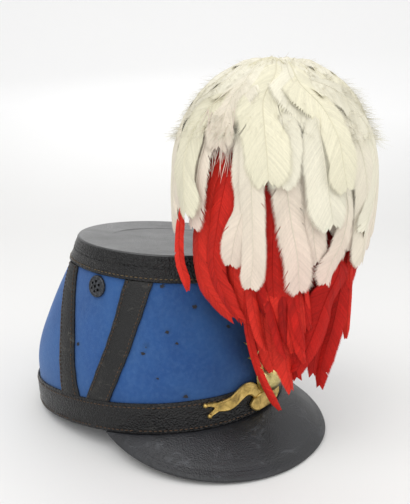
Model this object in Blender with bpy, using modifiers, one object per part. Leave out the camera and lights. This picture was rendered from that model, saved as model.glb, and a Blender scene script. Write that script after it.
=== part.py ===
"""A dress shako: a tapered blue cloth crown with black leather bands, side straps and peak, a brass badge,
two vents, and a drooping plume of white feathers over red ones, carried on a post at the front.

Units are metres and +Z is up. The hat is modelled square to its own base, front towards -Y, and then
stands as it does on a table, on the peak's front edge and the back of its lower band."""

import math

import bmesh
import bpy
from mathutils import Matrix, Vector

# Crown
BASE_LENGTH = 0.1982  # front to back, over the cloth
BASE_WIDTH = 0.1678  # side to side, over the cloth
BASE_SQUARENESS = 2.17  # 2 is an ellipse, and more is squarer
TOP_DIAMETER = 0.1330
TOP_FORWARD = 0.0222  # how far the top's centre lies ahead of the base's centre
TOP_TILT = math.radians(9.5)  # the top falls towards the front
CROWN_HEIGHT = 0.1180  # at the top's centre
CLOTH_WALL = 0.0025
CROWN_COLUMNS = 40

# Leather
LEATHER_WALL = 0.0016
HEADBAND_HEIGHT = 0.0205
TOP_BAND_HEIGHT = 0.0140
TOP_LIP = 0.0030  # how far the top band laps in over the top
DISC_WALL = 0.0022
DISC_DISH = 0.0008  # how far the flat of the top is sunk
DISC_FLAT_RADIUS = 0.0520
FRONT_STRAP_WIDTH = 0.0187
REAR_STRAP_WIDTH = 0.0165
GAP = 0.0003  # between pieces that touch
EDGE_GAP = 0.0004  # where a strap's end meets the edge of a band

# Peak
PEAK_REACH = 0.0339  # forward of the lower band, at the front
PEAK_DROP = 0.0262  # below the lower band, at the front
PEAK_HALF_ANGLE = math.radians(76)
PEAK_WALL = 0.0024
PEAK_TUCK = 0.0026  # how far its root runs in under the crown wall
PEAK_COLUMNS = 24

# Vents
VENT_RADIUS = 0.0076
VENT_RISE = 0.0016
VENT_ANGLE = math.radians(90.3)
VENT_CLEAR = 0.0007  # from its rim to the top band's lower edge
VENT_SEAT = 0.0004  # room for the crown's curve under a flat disc
VENT_HOLE_RADIUS = 0.00095
VENT_HOLE_RING = 0.0034

# Badge
BADGE_WALL = 0.0013
BALL_RADIUS = 0.0124
BALL_PROUD = 0.0090
BALL_HEIGHT = 0.0245
STUD_RADIUS = 0.0024  # the stud that holds the ball to the crown, above the lower band
FLAME_LENGTH = 0.0320
FLAME_LIFT = 0.0010  # the flames' roots stand off more than their tips
SCROLL_ROW_GAP = 0.0006
KNOB_RADIUS = 0.0016

# Plume
PLUME_HEAD_HEIGHT = 0.2400  # above the table
PLUME_HEAD_RADIUS = 0.0280
PLUME_HEAD_DEPTH = 0.0170
PLUME_AHEAD = 0.0220  # the head's centre ahead of the top band's front edge
PLUME_RADIUS = 0.0680
WHITE_CREST = 0.0175  # the white locks' crest, above the head's centre
RED_CREST = -0.0270
SLEEVE_RADIUS = 0.0110
SLEEVE_LENGTH = 0.0460
WHITE_SWAY = 0.0030  # how far the white tips hang ahead of the crest
RED_SWAY = 0.0130
LOCK_WALL = 0.0025
LOCK_STAGGER = 0.0011  # each lock's crest lies this much under the one beside it, in threes
POST_RADIUS = 0.0026
SOCKET_RADIUS = 0.0052
SOCKET_LENGTH = 0.0240

# The crown's taper: share of its height, then share of the way from the base outline to the top outline, in
# front and behind, where it bellies out, and at the sides, where it is nearly straight.
CROWN_TAPER = (
    (0.00, 0.000, 0.000),
    (0.17, -0.010, 0.040),
    (0.29, 0.010, 0.170),
    (0.41, 0.105, 0.330),
    (0.55, 0.285, 0.520),
    (0.70, 0.510, 0.695),
    (0.85, 0.760, 0.855),
    (1.00, 1.000, 1.000),
)
BELLY_TAPER = tuple((share, belly) for share, belly, _ in CROWN_TAPER)
SIDE_TAPER = tuple((share, side) for share, _, side in CROWN_TAPER)
SIDE_RISES = (math.radians(50), math.radians(70))  # the straight side comes in between these angles
SIDE_FALLS = (math.radians(98), math.radians(133))  # and goes out between these

# Side straps: name, width, angle at the lower band and angle at the top band, in degrees round from the front.
STRAPS = (
    ("front", FRONT_STRAP_WIDTH, 79.5, 64.5),
    ("rear", REAR_STRAP_WIDTH, 93.5, 118.5),
)

# The badge's scroll, one half: degrees round from the front, height and half width in shares of the lower
# band's height.
SCROLL_ARCH = (
    (4.6, 0.60, 0.20),
    (7.2, 0.84, 0.23),
    (10.5, 1.02, 0.23),
    (14.0, 1.03, 0.22),
    (17.5, 0.90, 0.22),
    (21.5, 0.76, 0.21),
    (26.0, 0.70, 0.17),
    (28.6, 0.69, 0.12),
)
SCROLL_FOLD = (
    (-9.6, 0.40, 0.16),
    (-6.5, 0.38, 0.26),
    (-2.5, 0.41, 0.28),
    (2.5, 0.41, 0.28),
    (6.5, 0.38, 0.26),
    (9.6, 0.40, 0.16),
)
SCROLL_PRONGS = (
    ((27.6, 0.75, 0.07), (30.0, 0.80, 0.06), (32.8, 0.82, 0.05)),
    ((27.6, 0.63, 0.07), (29.4, 0.54, 0.06), (31.2, 0.46, 0.05)),
)

# The badge's flames: degrees of lean from upright, and length as a share of the longest.
FLAMES = (
    (-52, 0.74),
    (-34, 0.88),
    (-16, 0.94),
    (0, 1.00),
    (16, 0.94),
    (34, 0.88),
    (52, 0.74),
)

# A lock's arc: share of its reach, share of its fall from the crest, share of its width.
WHITE_ARC = (
    (0.18, 0.045, 0.22),
    (0.36, 0.000, 0.336),
    (0.58, 0.085, 0.565),
    (0.82, 0.260, 0.830),
    (0.98, 0.520, 0.975),
    (1.00, 0.790, 0.84),
    (0.95, 1.000, 0.40),
)
RED_ARC = (
    (0.21, 0.040, 0.22),
    (0.47, 0.000, 0.42),
    (0.78, 0.080, 0.70),
    (0.95, 0.250, 0.94),
    (1.00, 0.500, 1.00),
    (0.93, 0.780, 0.78),
    (0.80, 1.000, 0.26),
)

# Locks, one row each: degrees round from the front, and how high its tip hangs as a share of the head's height.
WHITE_OUTER_LOCKS = (
    (-150, 0.64),
    (-120, 0.62),
    (-90, 0.63),
    (-60, 0.55),
    (-30, 0.60),
    (0, 0.56),
    (30, 0.60),
    (60, 0.56),
    (90, 0.60),
    (120, 0.64),
    (150, 0.66),
    (180, 0.68),
)
WHITE_INNER_LOCKS = (
    (-163, 0.66),
    (-127, 0.64),
    (-88, 0.56),
    (-53, 0.49),
    (-17, 0.50),
    (19, 0.53),
    (57, 0.50),
    (94, 0.56),
    (131, 0.64),
    (168, 0.66),
)
RED_OUTER_LOCKS = (
    (-151, 0.62),
    (-123, 0.61),
    (-97, 0.45),
    (-73, 0.29),
    (-49, 0.175),
    (-25, 0.155),
    (1, 0.19),
    (29, 0.24),
    (57, 0.28),
    (83, 0.33),
    (109, 0.45),
    (137, 0.62),
    (176, 0.64),
)
RED_INNER_LOCKS = (
    (-140, 0.62),
    (-86, 0.38),
    (-38, 0.21),
    (9, 0.20),
    (53, 0.27),
    (96, 0.40),
    (157, 0.62),
)
# Layers: arc, locks, reach and width as shares of the plume's radius, crest below that layer's own crest.
WHITE_LAYERS = (
    (WHITE_ARC, WHITE_OUTER_LOCKS, 1.00, 0.540, 0.0000),
    (WHITE_ARC, WHITE_INNER_LOCKS, 0.85, 0.500, 0.0090),
)
RED_LAYERS = (
    (RED_ARC, RED_OUTER_LOCKS, 0.68, 0.320, 0.0000),
    (RED_ARC, RED_INNER_LOCKS, 0.50, 0.330, 0.0130),
)

BLUE_CLOTH = ("blue_cloth", (0.055, 0.145, 0.420), 0.90, 0.0)
BLACK_LEATHER = ("black_leather", (0.018, 0.018, 0.020), 0.48, 0.0)
PEAK_LEATHER = ("peak_leather", (0.026, 0.028, 0.034), 0.42, 0.0)
BLACK_ENAMEL = ("black_enamel", (0.030, 0.032, 0.036), 0.35, 0.6)
BRASS = ("brass", (0.520, 0.400, 0.160), 0.38, 1.0)
WHITE_FEATHER = ("white_feather", (0.830, 0.790, 0.660), 0.80, 0.0)
RED_FEATHER = ("red_feather", (0.620, 0.035, 0.022), 0.70, 0.0)


def clear_scene():
    for old in list(bpy.data.objects):
        bpy.data.objects.remove(old)


def material(finish):
    name, colour, roughness, metallic = finish
    found = bpy.data.materials.get(name)
    if found:
        return found
    made = bpy.data.materials.new(name)
    made.use_nodes = True
    shader = made.node_tree.nodes["Principled BSDF"]
    shader.inputs["Base Color"].default_value = (*colour, 1.0)
    shader.inputs["Roughness"].default_value = roughness
    shader.inputs["Metallic"].default_value = metallic
    return made


def add_object(name, shape, finish, parent, collection):
    """Makes an object from a bmesh, or from a mesh, and frees the bmesh."""
    if isinstance(shape, bmesh.types.BMesh):
        mesh = bpy.data.meshes.new(name)
        shape.to_mesh(mesh)
        shape.free()
    else:
        mesh = shape
    mesh.materials.clear()
    mesh.materials.append(material(finish))
    mesh.shade_smooth()
    mesh.set_sharp_from_angle(angle=math.radians(35))
    obj = bpy.data.objects.new(name, mesh)
    collection.objects.link(obj)
    obj.parent = parent
    return obj


def open_sheet(rows, round_closed=False):
    """A bmesh of quads through rows of points, every row with as many points. The faces look along
    (next column) x (next row)."""
    sheet = bmesh.new()
    made = [[sheet.verts.new(point) for point in row] for row in rows]
    columns = len(made[0])
    for low, high in zip(made, made[1:]):
        for i in range(columns if round_closed else columns - 1):
            j = (i + 1) % columns
            sheet.faces.new((low[i], low[j], high[j], high[i]))
    return sheet


def thicken(obj, thickness, side):
    """Gives a sheet its wall, on the outer side of its faces for side 1 and on the inner one for -1."""
    wall = obj.modifiers.new("wall", "SOLIDIFY")
    wall.thickness = thickness
    wall.offset = side
    wall.use_even_offset = True
    return wall


def evaluated_mesh(obj):
    """The object's mesh in its parent's space, with its modifiers and its own placing applied."""
    graph = bpy.context.evaluated_depsgraph_get()
    mesh = bpy.data.meshes.new_from_object(obj.evaluated_get(graph))
    mesh.transform(obj.matrix_basis)
    return mesh


def fuse(name, objects, finish, parent, collection):
    """One solid from several that overlap."""
    first = objects[0]
    joined = bmesh.new()
    for obj in objects[1:]:
        joined.from_mesh(evaluated_mesh(obj))
    base = bpy.data.objects.new(name + "_base", evaluated_mesh(first))
    cutters = bpy.data.collections["cutters"]
    other = bpy.data.objects.new(name + "_rest", bpy.data.meshes.new(name + "_rest"))
    joined.to_mesh(other.data)
    joined.free()
    for helper in (base, other):
        cutters.objects.link(helper)
    union = base.modifiers.new("union", "BOOLEAN")
    union.operation = "UNION"
    union.object = other
    union.use_self = True
    mesh = evaluated_mesh(base)
    for helper in (*objects, base, other):
        bpy.data.objects.remove(helper)
    return add_object(name, mesh, finish, parent, collection)


def table_value(table, share):
    """The second column of a table at a value of the first, on a smooth curve through its rows."""
    rows = list(table)
    for i, (low, high) in enumerate(zip(rows, rows[1:])):
        if share <= high[0] or i == len(rows) - 2:
            break
    before = rows[max(i - 1, 0)]
    after = rows[min(i + 2, len(rows) - 1)]
    span = high[0] - low[0]
    slope_low = (high[1] - before[1]) / (high[0] - before[0])
    slope_high = (after[1] - low[1]) / (after[0] - low[0])
    t = (share - low[0]) / span
    return (
        (2 * t**3 - 3 * t**2 + 1) * low[1]
        + (t**3 - 2 * t**2 + t) * span * slope_low
        + (3 * t**2 - 2 * t**3) * high[1]
        + (t**3 - t**2) * span * slope_high
    )


def rounded(value, power):
    return math.copysign(abs(value) ** (2 / power), value)


def base_outline(angle):
    """A point of the base outline over the cloth, with angle 0 at the front and growing to the wearer's left."""
    return Vector(
        (
            BASE_WIDTH / 2 * rounded(math.sin(angle), BASE_SQUARENESS),
            -BASE_LENGTH / 2 * rounded(math.cos(angle), BASE_SQUARENESS),
            0.0,
        )
    )


def top_frame():
    """The place and tilt of the crown's top edge."""
    return Matrix.Translation((0, -TOP_FORWARD, CROWN_HEIGHT)) @ Matrix.Rotation(TOP_TILT, 4, "X")


def top_outline(angle):
    radius = TOP_DIAMETER / 2
    return top_frame() @ Vector((radius * math.sin(angle), -radius * math.cos(angle), 0))


def eased(value, low, high):
    """Goes smoothly from 0 at low to 1 at high."""
    level = min(max((value - low) / (high - low), 0.0), 1.0)
    return level * level * (3 - 2 * level)


def side_share(angle):
    """How much of the crown's side shape an angle has."""
    turn = abs(math.remainder(angle, math.tau))
    return eased(turn, *SIDE_RISES) * (1 - eased(turn, *SIDE_FALLS))


def crown_skin(angle, share):
    """A point of the cloth's outer surface, at a share of the crown's height."""
    low, high = base_outline(angle), top_outline(angle)
    belly, side = table_value(BELLY_TAPER, share), table_value(SIDE_TAPER, share)
    taper = belly + (side - belly) * side_share(angle)
    point = low.lerp(high, taper)
    point.z = low.z + (high.z - low.z) * share
    return point


def crown_normal(angle, share):
    step = 0.004
    low = max(share - step, 0.0)
    high = min(share + step, 1.0)
    around = crown_skin(angle + step, share) - crown_skin(angle - step, share)
    upward = crown_skin(angle, high) - crown_skin(angle, low)
    return around.cross(upward).normalized()


def crown_point(angle, share, proud=0.0):
    """A point that stands off the cloth by proud, square to it."""
    return crown_skin(angle, share) + crown_normal(angle, share) * proud


def side_height(angle):
    return top_outline(angle).z


def share_at(angle, height):
    """The share of the crown's height at a height above the base."""
    return height / side_height(angle)


def top_band_share(angle):
    """Where the top band's lower edge runs."""
    return 1 - TOP_BAND_HEIGHT / side_height(angle)


def full_turn(columns):
    return [2 * math.pi * i / columns for i in range(columns)]


def span(low, high, count):
    return [low + (high - low) * i / count for i in range(count + 1)]


def make_crown(parent, collection):
    angles = full_turn(CROWN_COLUMNS)
    rows = [[crown_point(a, share) for a in angles] for share, _ in BELLY_TAPER]
    crown = add_object("crown_cloth", open_sheet(rows, True), BLUE_CLOTH, parent, collection)
    thicken(crown, CLOTH_WALL, -1)


def make_headband(parent, collection):
    angles = full_turn(CROWN_COLUMNS)
    rows = [[crown_point(a, share_at(a, HEADBAND_HEIGHT) * level, GAP) for a in angles] for level in span(0, 1, 2)]
    band = add_object("headband", open_sheet(rows, True), BLACK_LEATHER, parent, collection)
    thicken(band, LEATHER_WALL, 1)


def make_top_band(parent, collection):
    """A strip round the crown's top that turns in over the edge of the top disc."""
    angles = full_turn(CROWN_COLUMNS)
    levels = span(0, 1, 2)
    rows = [
        [crown_point(a, 1 + (top_band_share(a) - 1) * (1 - level), GAP) for a in angles]
        for level in levels
    ]
    edge_rise = GAP + DISC_WALL + GAP
    radius = TOP_DIAMETER / 2 + GAP
    for rise, inward in ((edge_rise, 0.0), (edge_rise, TOP_LIP)):
        ring = [Vector(((radius - inward) * math.sin(a), -(radius - inward) * math.cos(a), rise)) for a in angles]
        rows.append([top_frame() @ point for point in ring])
    band = add_object("top_band", open_sheet(rows, True), BLACK_LEATHER, parent, collection)
    thicken(band, LEATHER_WALL, 1)


def turned(name, profile, steps, finish, parent, collection, placing=Matrix.Identity(4)):
    """A solid turned about its own Z from (radius, height) pairs that run down its outer side."""
    outline = bmesh.new()
    points = [outline.verts.new((radius, 0, height)) for radius, height in profile]
    for a, b in zip(points, points[1:]):
        outline.edges.new((a, b))
    obj = add_object(name, outline, finish, parent, collection)
    screw = obj.modifiers.new("turn", "SCREW")
    screw.steps = steps
    screw.render_steps = steps
    screw.use_merge_vertices = True
    screw.merge_threshold = 0.00001
    obj.matrix_basis = placing
    return obj


def make_crown_top(parent, collection):
    radius = TOP_DIAMETER / 2
    top = DISC_WALL
    shoulder = (radius + DISC_FLAT_RADIUS) / 2
    profile = (
        (0, top - DISC_DISH),
        (DISC_FLAT_RADIUS, top - DISC_DISH),
        (shoulder, top),
        (radius, top),
        (radius, 0),
        (0, 0),
    )
    placing = top_frame() @ Matrix.Translation((0, 0, GAP))
    turned("crown_top", profile, CROWN_COLUMNS, BLACK_LEATHER, parent, collection, placing)


def make_strap(name, side, width, low_degrees, high_degrees, parent, collection):
    """A flat strap laid up the side of the crown, from the lower band to the top band."""
    low_angle, high_angle = (side * math.radians(x) for x in (low_degrees, high_degrees))
    rows = []
    for level in span(0, 1, 7):
        middle = low_angle + (high_angle - low_angle) * level
        low_share = share_at(middle, HEADBAND_HEIGHT + EDGE_GAP)
        high_share = top_band_share(middle) - share_at(middle, EDGE_GAP)
        share = low_share + (high_share - low_share) * level
        here = crown_skin(middle, share)
        ahead = crown_skin(middle + 0.01, share)
        per_radian = (ahead - here).length / 0.01
        rise = (high_share - low_share) * side_height(middle)
        slant = math.atan2((high_angle - low_angle) * per_radian, rise)
        half = width / 2 / per_radian / math.cos(slant)
        row = []
        for angle in span(middle - half, middle + half, 4):
            low_end = share_at(angle, HEADBAND_HEIGHT + EDGE_GAP)
            high_end = top_band_share(angle) - share_at(angle, EDGE_GAP)
            row.append(crown_point(angle, low_end + (high_end - low_end) * level, GAP))
        rows.append(row)
    strap = add_object(name, open_sheet(rows), BLACK_LEATHER, parent, collection)
    thicken(strap, LEATHER_WALL, 1)


def peak_point(angle, out):
    """A point of the peak's upper face. out is 0 at the lower band's outer edge and 1 at the rim."""
    root = crown_point(angle, 0.0, GAP + LEATHER_WALL)
    outward = crown_normal(angle, 0.0)
    outward.z = 0
    outward.normalize()
    fullness = 1 - (angle / PEAK_HALF_ANGLE) ** 2
    point = root + outward * (PEAK_REACH * fullness * out)
    point.z = -GAP - PEAK_DROP * fullness * out**1.35
    return point


def peak_root(angle):
    """A point of the peak's inner edge, under the crown wall."""
    point = crown_point(angle, 0.0, GAP + LEATHER_WALL)
    outward = crown_normal(angle, 0.0)
    outward.z = 0
    point -= outward.normalized() * (LEATHER_WALL + PEAK_TUCK)
    point.z = -GAP
    return point


def make_peak(parent, collection):
    angles = span(-PEAK_HALF_ANGLE, PEAK_HALF_ANGLE, PEAK_COLUMNS)
    rows = [[peak_root(a) for a in angles]]
    for out in (0.03, 0.26, 0.52, 0.77, 1.0):
        rows.append([peak_point(a, out) for a in angles])
    sheet = open_sheet([row[::-1] for row in rows])
    peak = add_object("peak", sheet, PEAK_LEATHER, parent, collection)
    thicken(peak, PEAK_WALL, -1)


def make_vent(name, side, parent, collection):
    """A low domed disc with a rolled rim and seven holes."""
    angle = side * VENT_ANGLE
    share = top_band_share(angle) - share_at(angle, VENT_RADIUS + VENT_CLEAR)
    normal = crown_normal(angle, share)
    placing = normal.to_track_quat("Z", "Y").to_matrix().to_4x4()
    placing.translation = crown_point(angle, share, GAP + VENT_SEAT)
    profile = (
        (0, VENT_RISE),
        (VENT_RADIUS * 0.55, VENT_RISE * 0.95),
        (VENT_RADIUS * 0.74, VENT_RISE * 0.62),
        (VENT_RADIUS * 0.88, VENT_RISE * 0.70),
        (VENT_RADIUS, VENT_RISE * 0.30),
        (VENT_RADIUS, 0),
        (0, 0),
    )
    disc = turned(name + "_blank", profile, 14, BLACK_ENAMEL, None, collection)
    cutters = bpy.data.collections["cutters"]
    holes = bmesh.new()
    places = [(0.0, 0.0)]
    for a in full_turn(6):
        places.append((VENT_HOLE_RING * math.cos(a), VENT_HOLE_RING * math.sin(a)))
    for x, y in places:
        bmesh.ops.create_cone(
            holes,
            cap_ends=True,
            segments=5,
            radius1=VENT_HOLE_RADIUS,
            radius2=VENT_HOLE_RADIUS,
            depth=VENT_RISE * 4,
            matrix=Matrix.Translation((x, y, 0)),
        )
    cutter = bpy.data.objects.new(name + "_holes", bpy.data.meshes.new(name + "_holes"))
    holes.to_mesh(cutter.data)
    holes.free()
    cutters.objects.link(cutter)
    cut = disc.modifiers.new("holes", "BOOLEAN")
    cut.operation = "DIFFERENCE"
    cut.object = cutter
    mesh = evaluated_mesh(disc)
    bpy.data.objects.remove(disc)
    bpy.data.objects.remove(cutter)
    vent = add_object(name, mesh, BLACK_ENAMEL, parent, collection)
    vent.matrix_basis = placing


def badge_seat(angle, height):
    """How far the badge stands off the cloth: over the lower band, and the same above it."""
    return GAP + LEATHER_WALL + GAP


def ribbon(name, table, mirror, rise, collection):
    """A flat brass ribbon laid on the crown, its course and half width from a table."""
    rows = []
    for degrees, height, half in table:
        angle = math.radians(degrees) * mirror
        middle = height * HEADBAND_HEIGHT
        reach = half * HEADBAND_HEIGHT
        row = []
        for level in (-1, 0, 1):
            share = share_at(angle, middle + reach * level)
            row.append(crown_point(angle, share, badge_seat(angle, middle) + rise))
        rows.append(row)
    if mirror > 0:
        rows = [row[::-1] for row in rows]
    piece = add_object(name, open_sheet(rows), BRASS, None, collection)
    thicken(piece, BADGE_WALL, 1)
    return piece


def make_scroll(parent, collection):
    """A forked scroll: a folded middle, an arch to each side, and two knobbed prongs at each end."""
    pieces = [ribbon("fold", SCROLL_FOLD, 1, SCROLL_ROW_GAP, collection)]
    for mirror in (-1, 1):
        pieces.append(ribbon("arch", SCROLL_ARCH, mirror, 0.0, collection))
        for prong in SCROLL_PRONGS:
            pieces.append(ribbon("prong", prong, mirror, 0.0001, collection))
            degrees, height, _ = prong[-1]
            angle = math.radians(degrees) * mirror
            share = share_at(angle, height * HEADBAND_HEIGHT)
            knob = bmesh.new()
            bmesh.ops.create_uvsphere(knob, u_segments=7, v_segments=5, radius=KNOB_RADIUS)
            ball = add_object("knob", knob, BRASS, None, collection)
            ball.location = crown_point(angle, share, badge_seat(angle, 0) + KNOB_RADIUS)
            pieces.append(ball)
    fuse("badge_scroll", pieces, BRASS, parent, collection)


def make_grenade(parent, collection):
    """A round shell with a spray of flames above it."""
    share = share_at(0.0, BALL_HEIGHT)
    normal = crown_normal(0.0, share)
    placing = normal.to_track_quat("Z", "Y").to_matrix().to_4x4()
    seat = badge_seat(0.0, BALL_HEIGHT) + SCROLL_ROW_GAP + BADGE_WALL + GAP
    placing.translation = crown_point(0.0, share, seat)
    profile = [(0, BALL_PROUD)]
    for a in span(15, 90, 5):
        profile.append((BALL_RADIUS * math.sin(math.radians(a)), BALL_PROUD * math.cos(math.radians(a))))
    profile.append((0, 0))
    pieces = [turned("shell", profile, 20, BRASS, None, collection)]
    stud_end = GAP - seat
    stud_profile = ((0, BALL_PROUD / 2), (STUD_RADIUS, BALL_PROUD / 2), (STUD_RADIUS, stud_end), (0, stud_end))
    pieces.append(turned("stud", stud_profile, 10, BRASS, None, collection))
    for lean, length in FLAMES:
        tongue = Matrix.Rotation(math.radians(lean), 4, "Z")
        reach = BALL_RADIUS * 0.72
        tip = BALL_RADIUS + FLAME_LENGTH * length
        rows = []
        for along, half, bend in ((0.0, 0.0022, 0), (0.3, 0.0030, 0.0006), (0.62, 0.0024, -0.0010), (1.0, 0.0004, 0.0012)):
            y = reach + (tip - reach) * along
            lift = FLAME_LIFT * (1 - along)
            bent = math.copysign(bend, lean) if lean else 0.0
            rows.append([tongue @ Vector((bent + half * k, y, lift)) for k in (1, 0, -1)])
        flame = add_object("flame", open_sheet(rows), BRASS, None, collection)
        thicken(flame, BADGE_WALL * 1.5, 1)
        pieces.append(flame)
    badge = fuse("badge_grenade", pieces, BRASS, parent, collection)
    badge.matrix_basis = placing


def rest_placing():
    """Turns the hat about the back of its lower band until the peak's front edge meets the table."""
    back = crown_point(math.pi, 0.0, GAP + LEATHER_WALL)
    steepest = 0.0
    for angle in span(-PEAK_HALF_ANGLE, PEAK_HALF_ANGLE, PEAK_COLUMNS):
        rim = peak_point(angle, 1.0)
        inner = peak_point(angle, 0.9)
        face = (rim - inner).normalized()
        under = Vector((0, face.z, -face.y)).normalized() * PEAK_WALL
        if under.z > 0:
            under.negate()
        low = rim + under
        steepest = max(steepest, math.atan2(-low.z, back.y - low.y))
    turn = Matrix.Rotation(-steepest, 4, "X")
    return Matrix.Translation(back) @ turn @ Matrix.Translation(-back)


def lock_strip(arc, degrees, tip, reach, width, crest, sway, origin, collection):
    """One hanging lock: a strip that springs from the head, rises to the crest and falls to its tip."""
    middle = math.radians(degrees)
    rows = []
    for out, fall, broad in arc:
        radius = reach * out
        height = crest - (crest - tip) * fall
        half = width * broad / 2 / radius
        row = []
        for angle in (middle - half, middle, middle + half):
            ahead = sway * fall**2
            row.append(origin + Vector((radius * math.sin(angle), -radius * math.cos(angle) - ahead, height)))
        rows.append(row)
    lock = add_object("lock", open_sheet([row[::-1] for row in rows]), WHITE_FEATHER, None, collection)
    thicken(lock, LOCK_WALL, 0)
    return lock


def plume_locks(layers, crest, sway, origin, collection):
    made = []
    for arc, locks, reach, width, lower in layers:
        for i, (degrees, tip) in enumerate(locks):
            stagger = LOCK_STAGGER * (i % 3)
            made.append(
                lock_strip(
                    arc,
                    degrees,
                    tip * PLUME_HEAD_HEIGHT,
                    reach * PLUME_RADIUS - stagger * 0.5,
                    width * PLUME_RADIUS,
                    crest - lower - stagger,
                    sway,
                    origin,
                    collection,
                )
            )
    return made


def make_plume(parent, collection, hat_placing):
    """The post in its socket, the white head with its locks, and the red sleeve below it with its own."""
    band_share = (top_band_share(0.0) + 1) / 2
    front = hat_placing @ crown_point(0.0, band_share, GAP + LEATHER_WALL)
    edge = hat_placing @ crown_point(0.0, 1.0, GAP + LEATHER_WALL)
    foot = Vector((0, front.y - GAP - SOCKET_RADIUS - LEATHER_WALL, front.z - SOCKET_LENGTH / 2))
    head = Vector((0, edge.y - PLUME_AHEAD, PLUME_HEAD_HEIGHT))
    along = (head - foot).normalized()
    lean = along.to_track_quat("Z", "Y").to_matrix().to_4x4()

    post_top = PLUME_HEAD_DEPTH * 0.2
    post_length = (head - foot).length - post_top
    post_profile = (
        (0, post_length),
        (POST_RADIUS, post_length),
        (POST_RADIUS, SOCKET_LENGTH),
        (SOCKET_RADIUS, SOCKET_LENGTH * 0.92),
        (SOCKET_RADIUS, 0),
        (0, 0),
    )
    post = turned("post", post_profile, 12, BRASS, None, collection, Matrix.Translation(foot) @ lean)
    plate = bmesh.new()
    plate_height = TOP_BAND_HEIGHT * 0.7
    plate_depth = SOCKET_RADIUS + LEATHER_WALL
    bmesh.ops.create_cube(plate, size=1)
    bmesh.ops.scale(plate, vec=(SOCKET_RADIUS * 1.6, plate_depth, plate_height), verts=plate.verts)
    bracket = add_object("bracket", plate, BRASS, None, collection)
    skin_turn = crown_normal(0.0, band_share).to_track_quat("-Y", "Z").to_matrix().to_4x4()
    stand_off = Matrix.Translation((0, -plate_depth / 2 - GAP, 0))
    at_band = Matrix.Translation(crown_point(0.0, band_share, GAP + LEATHER_WALL))
    bracket.matrix_basis = hat_placing @ at_band @ skin_turn @ stand_off
    fuse("plume_post", [post, bracket], BRASS, parent, collection)

    bore = POST_RADIUS + GAP
    head_profile = [(0, PLUME_HEAD_DEPTH)]
    for a in span(25, 155, 5):
        turn = math.radians(a)
        head_profile.append((PLUME_HEAD_RADIUS * math.sin(turn), PLUME_HEAD_DEPTH * math.cos(turn)))
    bore_end = -post_top + GAP
    head_profile += [(bore, -PLUME_HEAD_DEPTH), (bore, bore_end), (0, bore_end)]
    head_place = Matrix.Translation(head) @ lean
    core = turned("core", head_profile, 18, WHITE_FEATHER, None, collection, head_place)
    white_origin = Vector((0, head.y, 0))
    white = plume_locks(WHITE_LAYERS, PLUME_HEAD_HEIGHT + WHITE_CREST, WHITE_SWAY, white_origin, collection)
    fuse("plume_white", [core, *white], WHITE_FEATHER, parent, collection)

    sleeve_top = RED_CREST + SLEEVE_RADIUS * 0.2
    sleeve_low = sleeve_top - SLEEVE_LENGTH
    sleeve_profile = (
        (bore, sleeve_top),
        (SLEEVE_RADIUS * 0.8, sleeve_top),
        (SLEEVE_RADIUS, sleeve_top - SLEEVE_RADIUS * 0.3),
        (SLEEVE_RADIUS * 0.9, sleeve_low + SLEEVE_RADIUS),
        (SLEEVE_RADIUS * 0.5, sleeve_low),
        (bore, sleeve_low),
        (bore, sleeve_top),
    )
    sleeve = turned("sleeve", sleeve_profile, 16, RED_FEATHER, None, collection, head_place)
    on_post = head + along * (RED_CREST / along.z)
    red_origin = Vector((0, on_post.y, 0))
    red = plume_locks(RED_LAYERS, PLUME_HEAD_HEIGHT + RED_CREST, RED_SWAY, red_origin, collection)
    fuse("plume_red", [sleeve, *red], RED_FEATHER, parent, collection)


def centre_on_table(root, collection):
    """Moves the whole so that the middle of its footprint is the origin."""
    bpy.context.view_layer.update()
    graph = bpy.context.evaluated_depsgraph_get()
    corners = []
    for obj in collection.objects:
        if obj.type == "MESH":
            seen = obj.evaluated_get(graph)
            corners += [seen.matrix_world @ vertex.co for vertex in seen.data.vertices]
    lows = [min(c[i] for c in corners) for i in range(3)]
    highs = [max(c[i] for c in corners) for i in range(3)]
    root.location = (-(lows[0] + highs[0]) / 2, -(lows[1] + highs[1]) / 2, -lows[2])


def main():
    clear_scene()
    scene = bpy.context.scene
    parts = bpy.data.collections.new("shako")
    cutters = bpy.data.collections.new("cutters")
    cutters.hide_render = True
    for collection in (parts, cutters):
        scene.collection.children.link(collection)
    root = bpy.data.objects.new("on_table", None)
    hat = bpy.data.objects.new("hat", None)
    for empty in (root, hat):
        parts.objects.link(empty)
    hat.parent = root
    hat_placing = rest_placing()
    hat.matrix_basis = hat_placing

    make_crown(hat, parts)
    make_headband(hat, parts)
    make_top_band(hat, parts)
    make_crown_top(hat, parts)
    for side_name, side in (("right", -1), ("left", 1)):
        for place, width, low_degrees, high_degrees in STRAPS:
            make_strap(f"strap_{side_name}_{place}", side, width, low_degrees, high_degrees, hat, parts)
        make_vent(f"vent_{side_name}", side, hat, parts)
    make_peak(hat, parts)
    make_scroll(hat, parts)
    make_grenade(hat, parts)
    make_plume(root, parts, hat_placing)
    centre_on_table(root, parts)


main()
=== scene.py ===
import math
import random

import bmesh
import bpy
import numpy as np
from mathutils import Matrix, Vector


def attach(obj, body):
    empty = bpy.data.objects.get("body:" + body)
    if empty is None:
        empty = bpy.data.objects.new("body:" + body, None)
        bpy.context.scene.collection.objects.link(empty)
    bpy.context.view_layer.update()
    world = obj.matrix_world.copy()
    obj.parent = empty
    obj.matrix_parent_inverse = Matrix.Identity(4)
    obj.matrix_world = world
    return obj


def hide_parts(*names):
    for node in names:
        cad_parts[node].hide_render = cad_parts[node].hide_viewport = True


# A dress shako: blue cloth crown, black leather, brass badge, white feathers over red ones.
# Metres, Z up, front to -Y, the wearer's left to +X.

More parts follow.
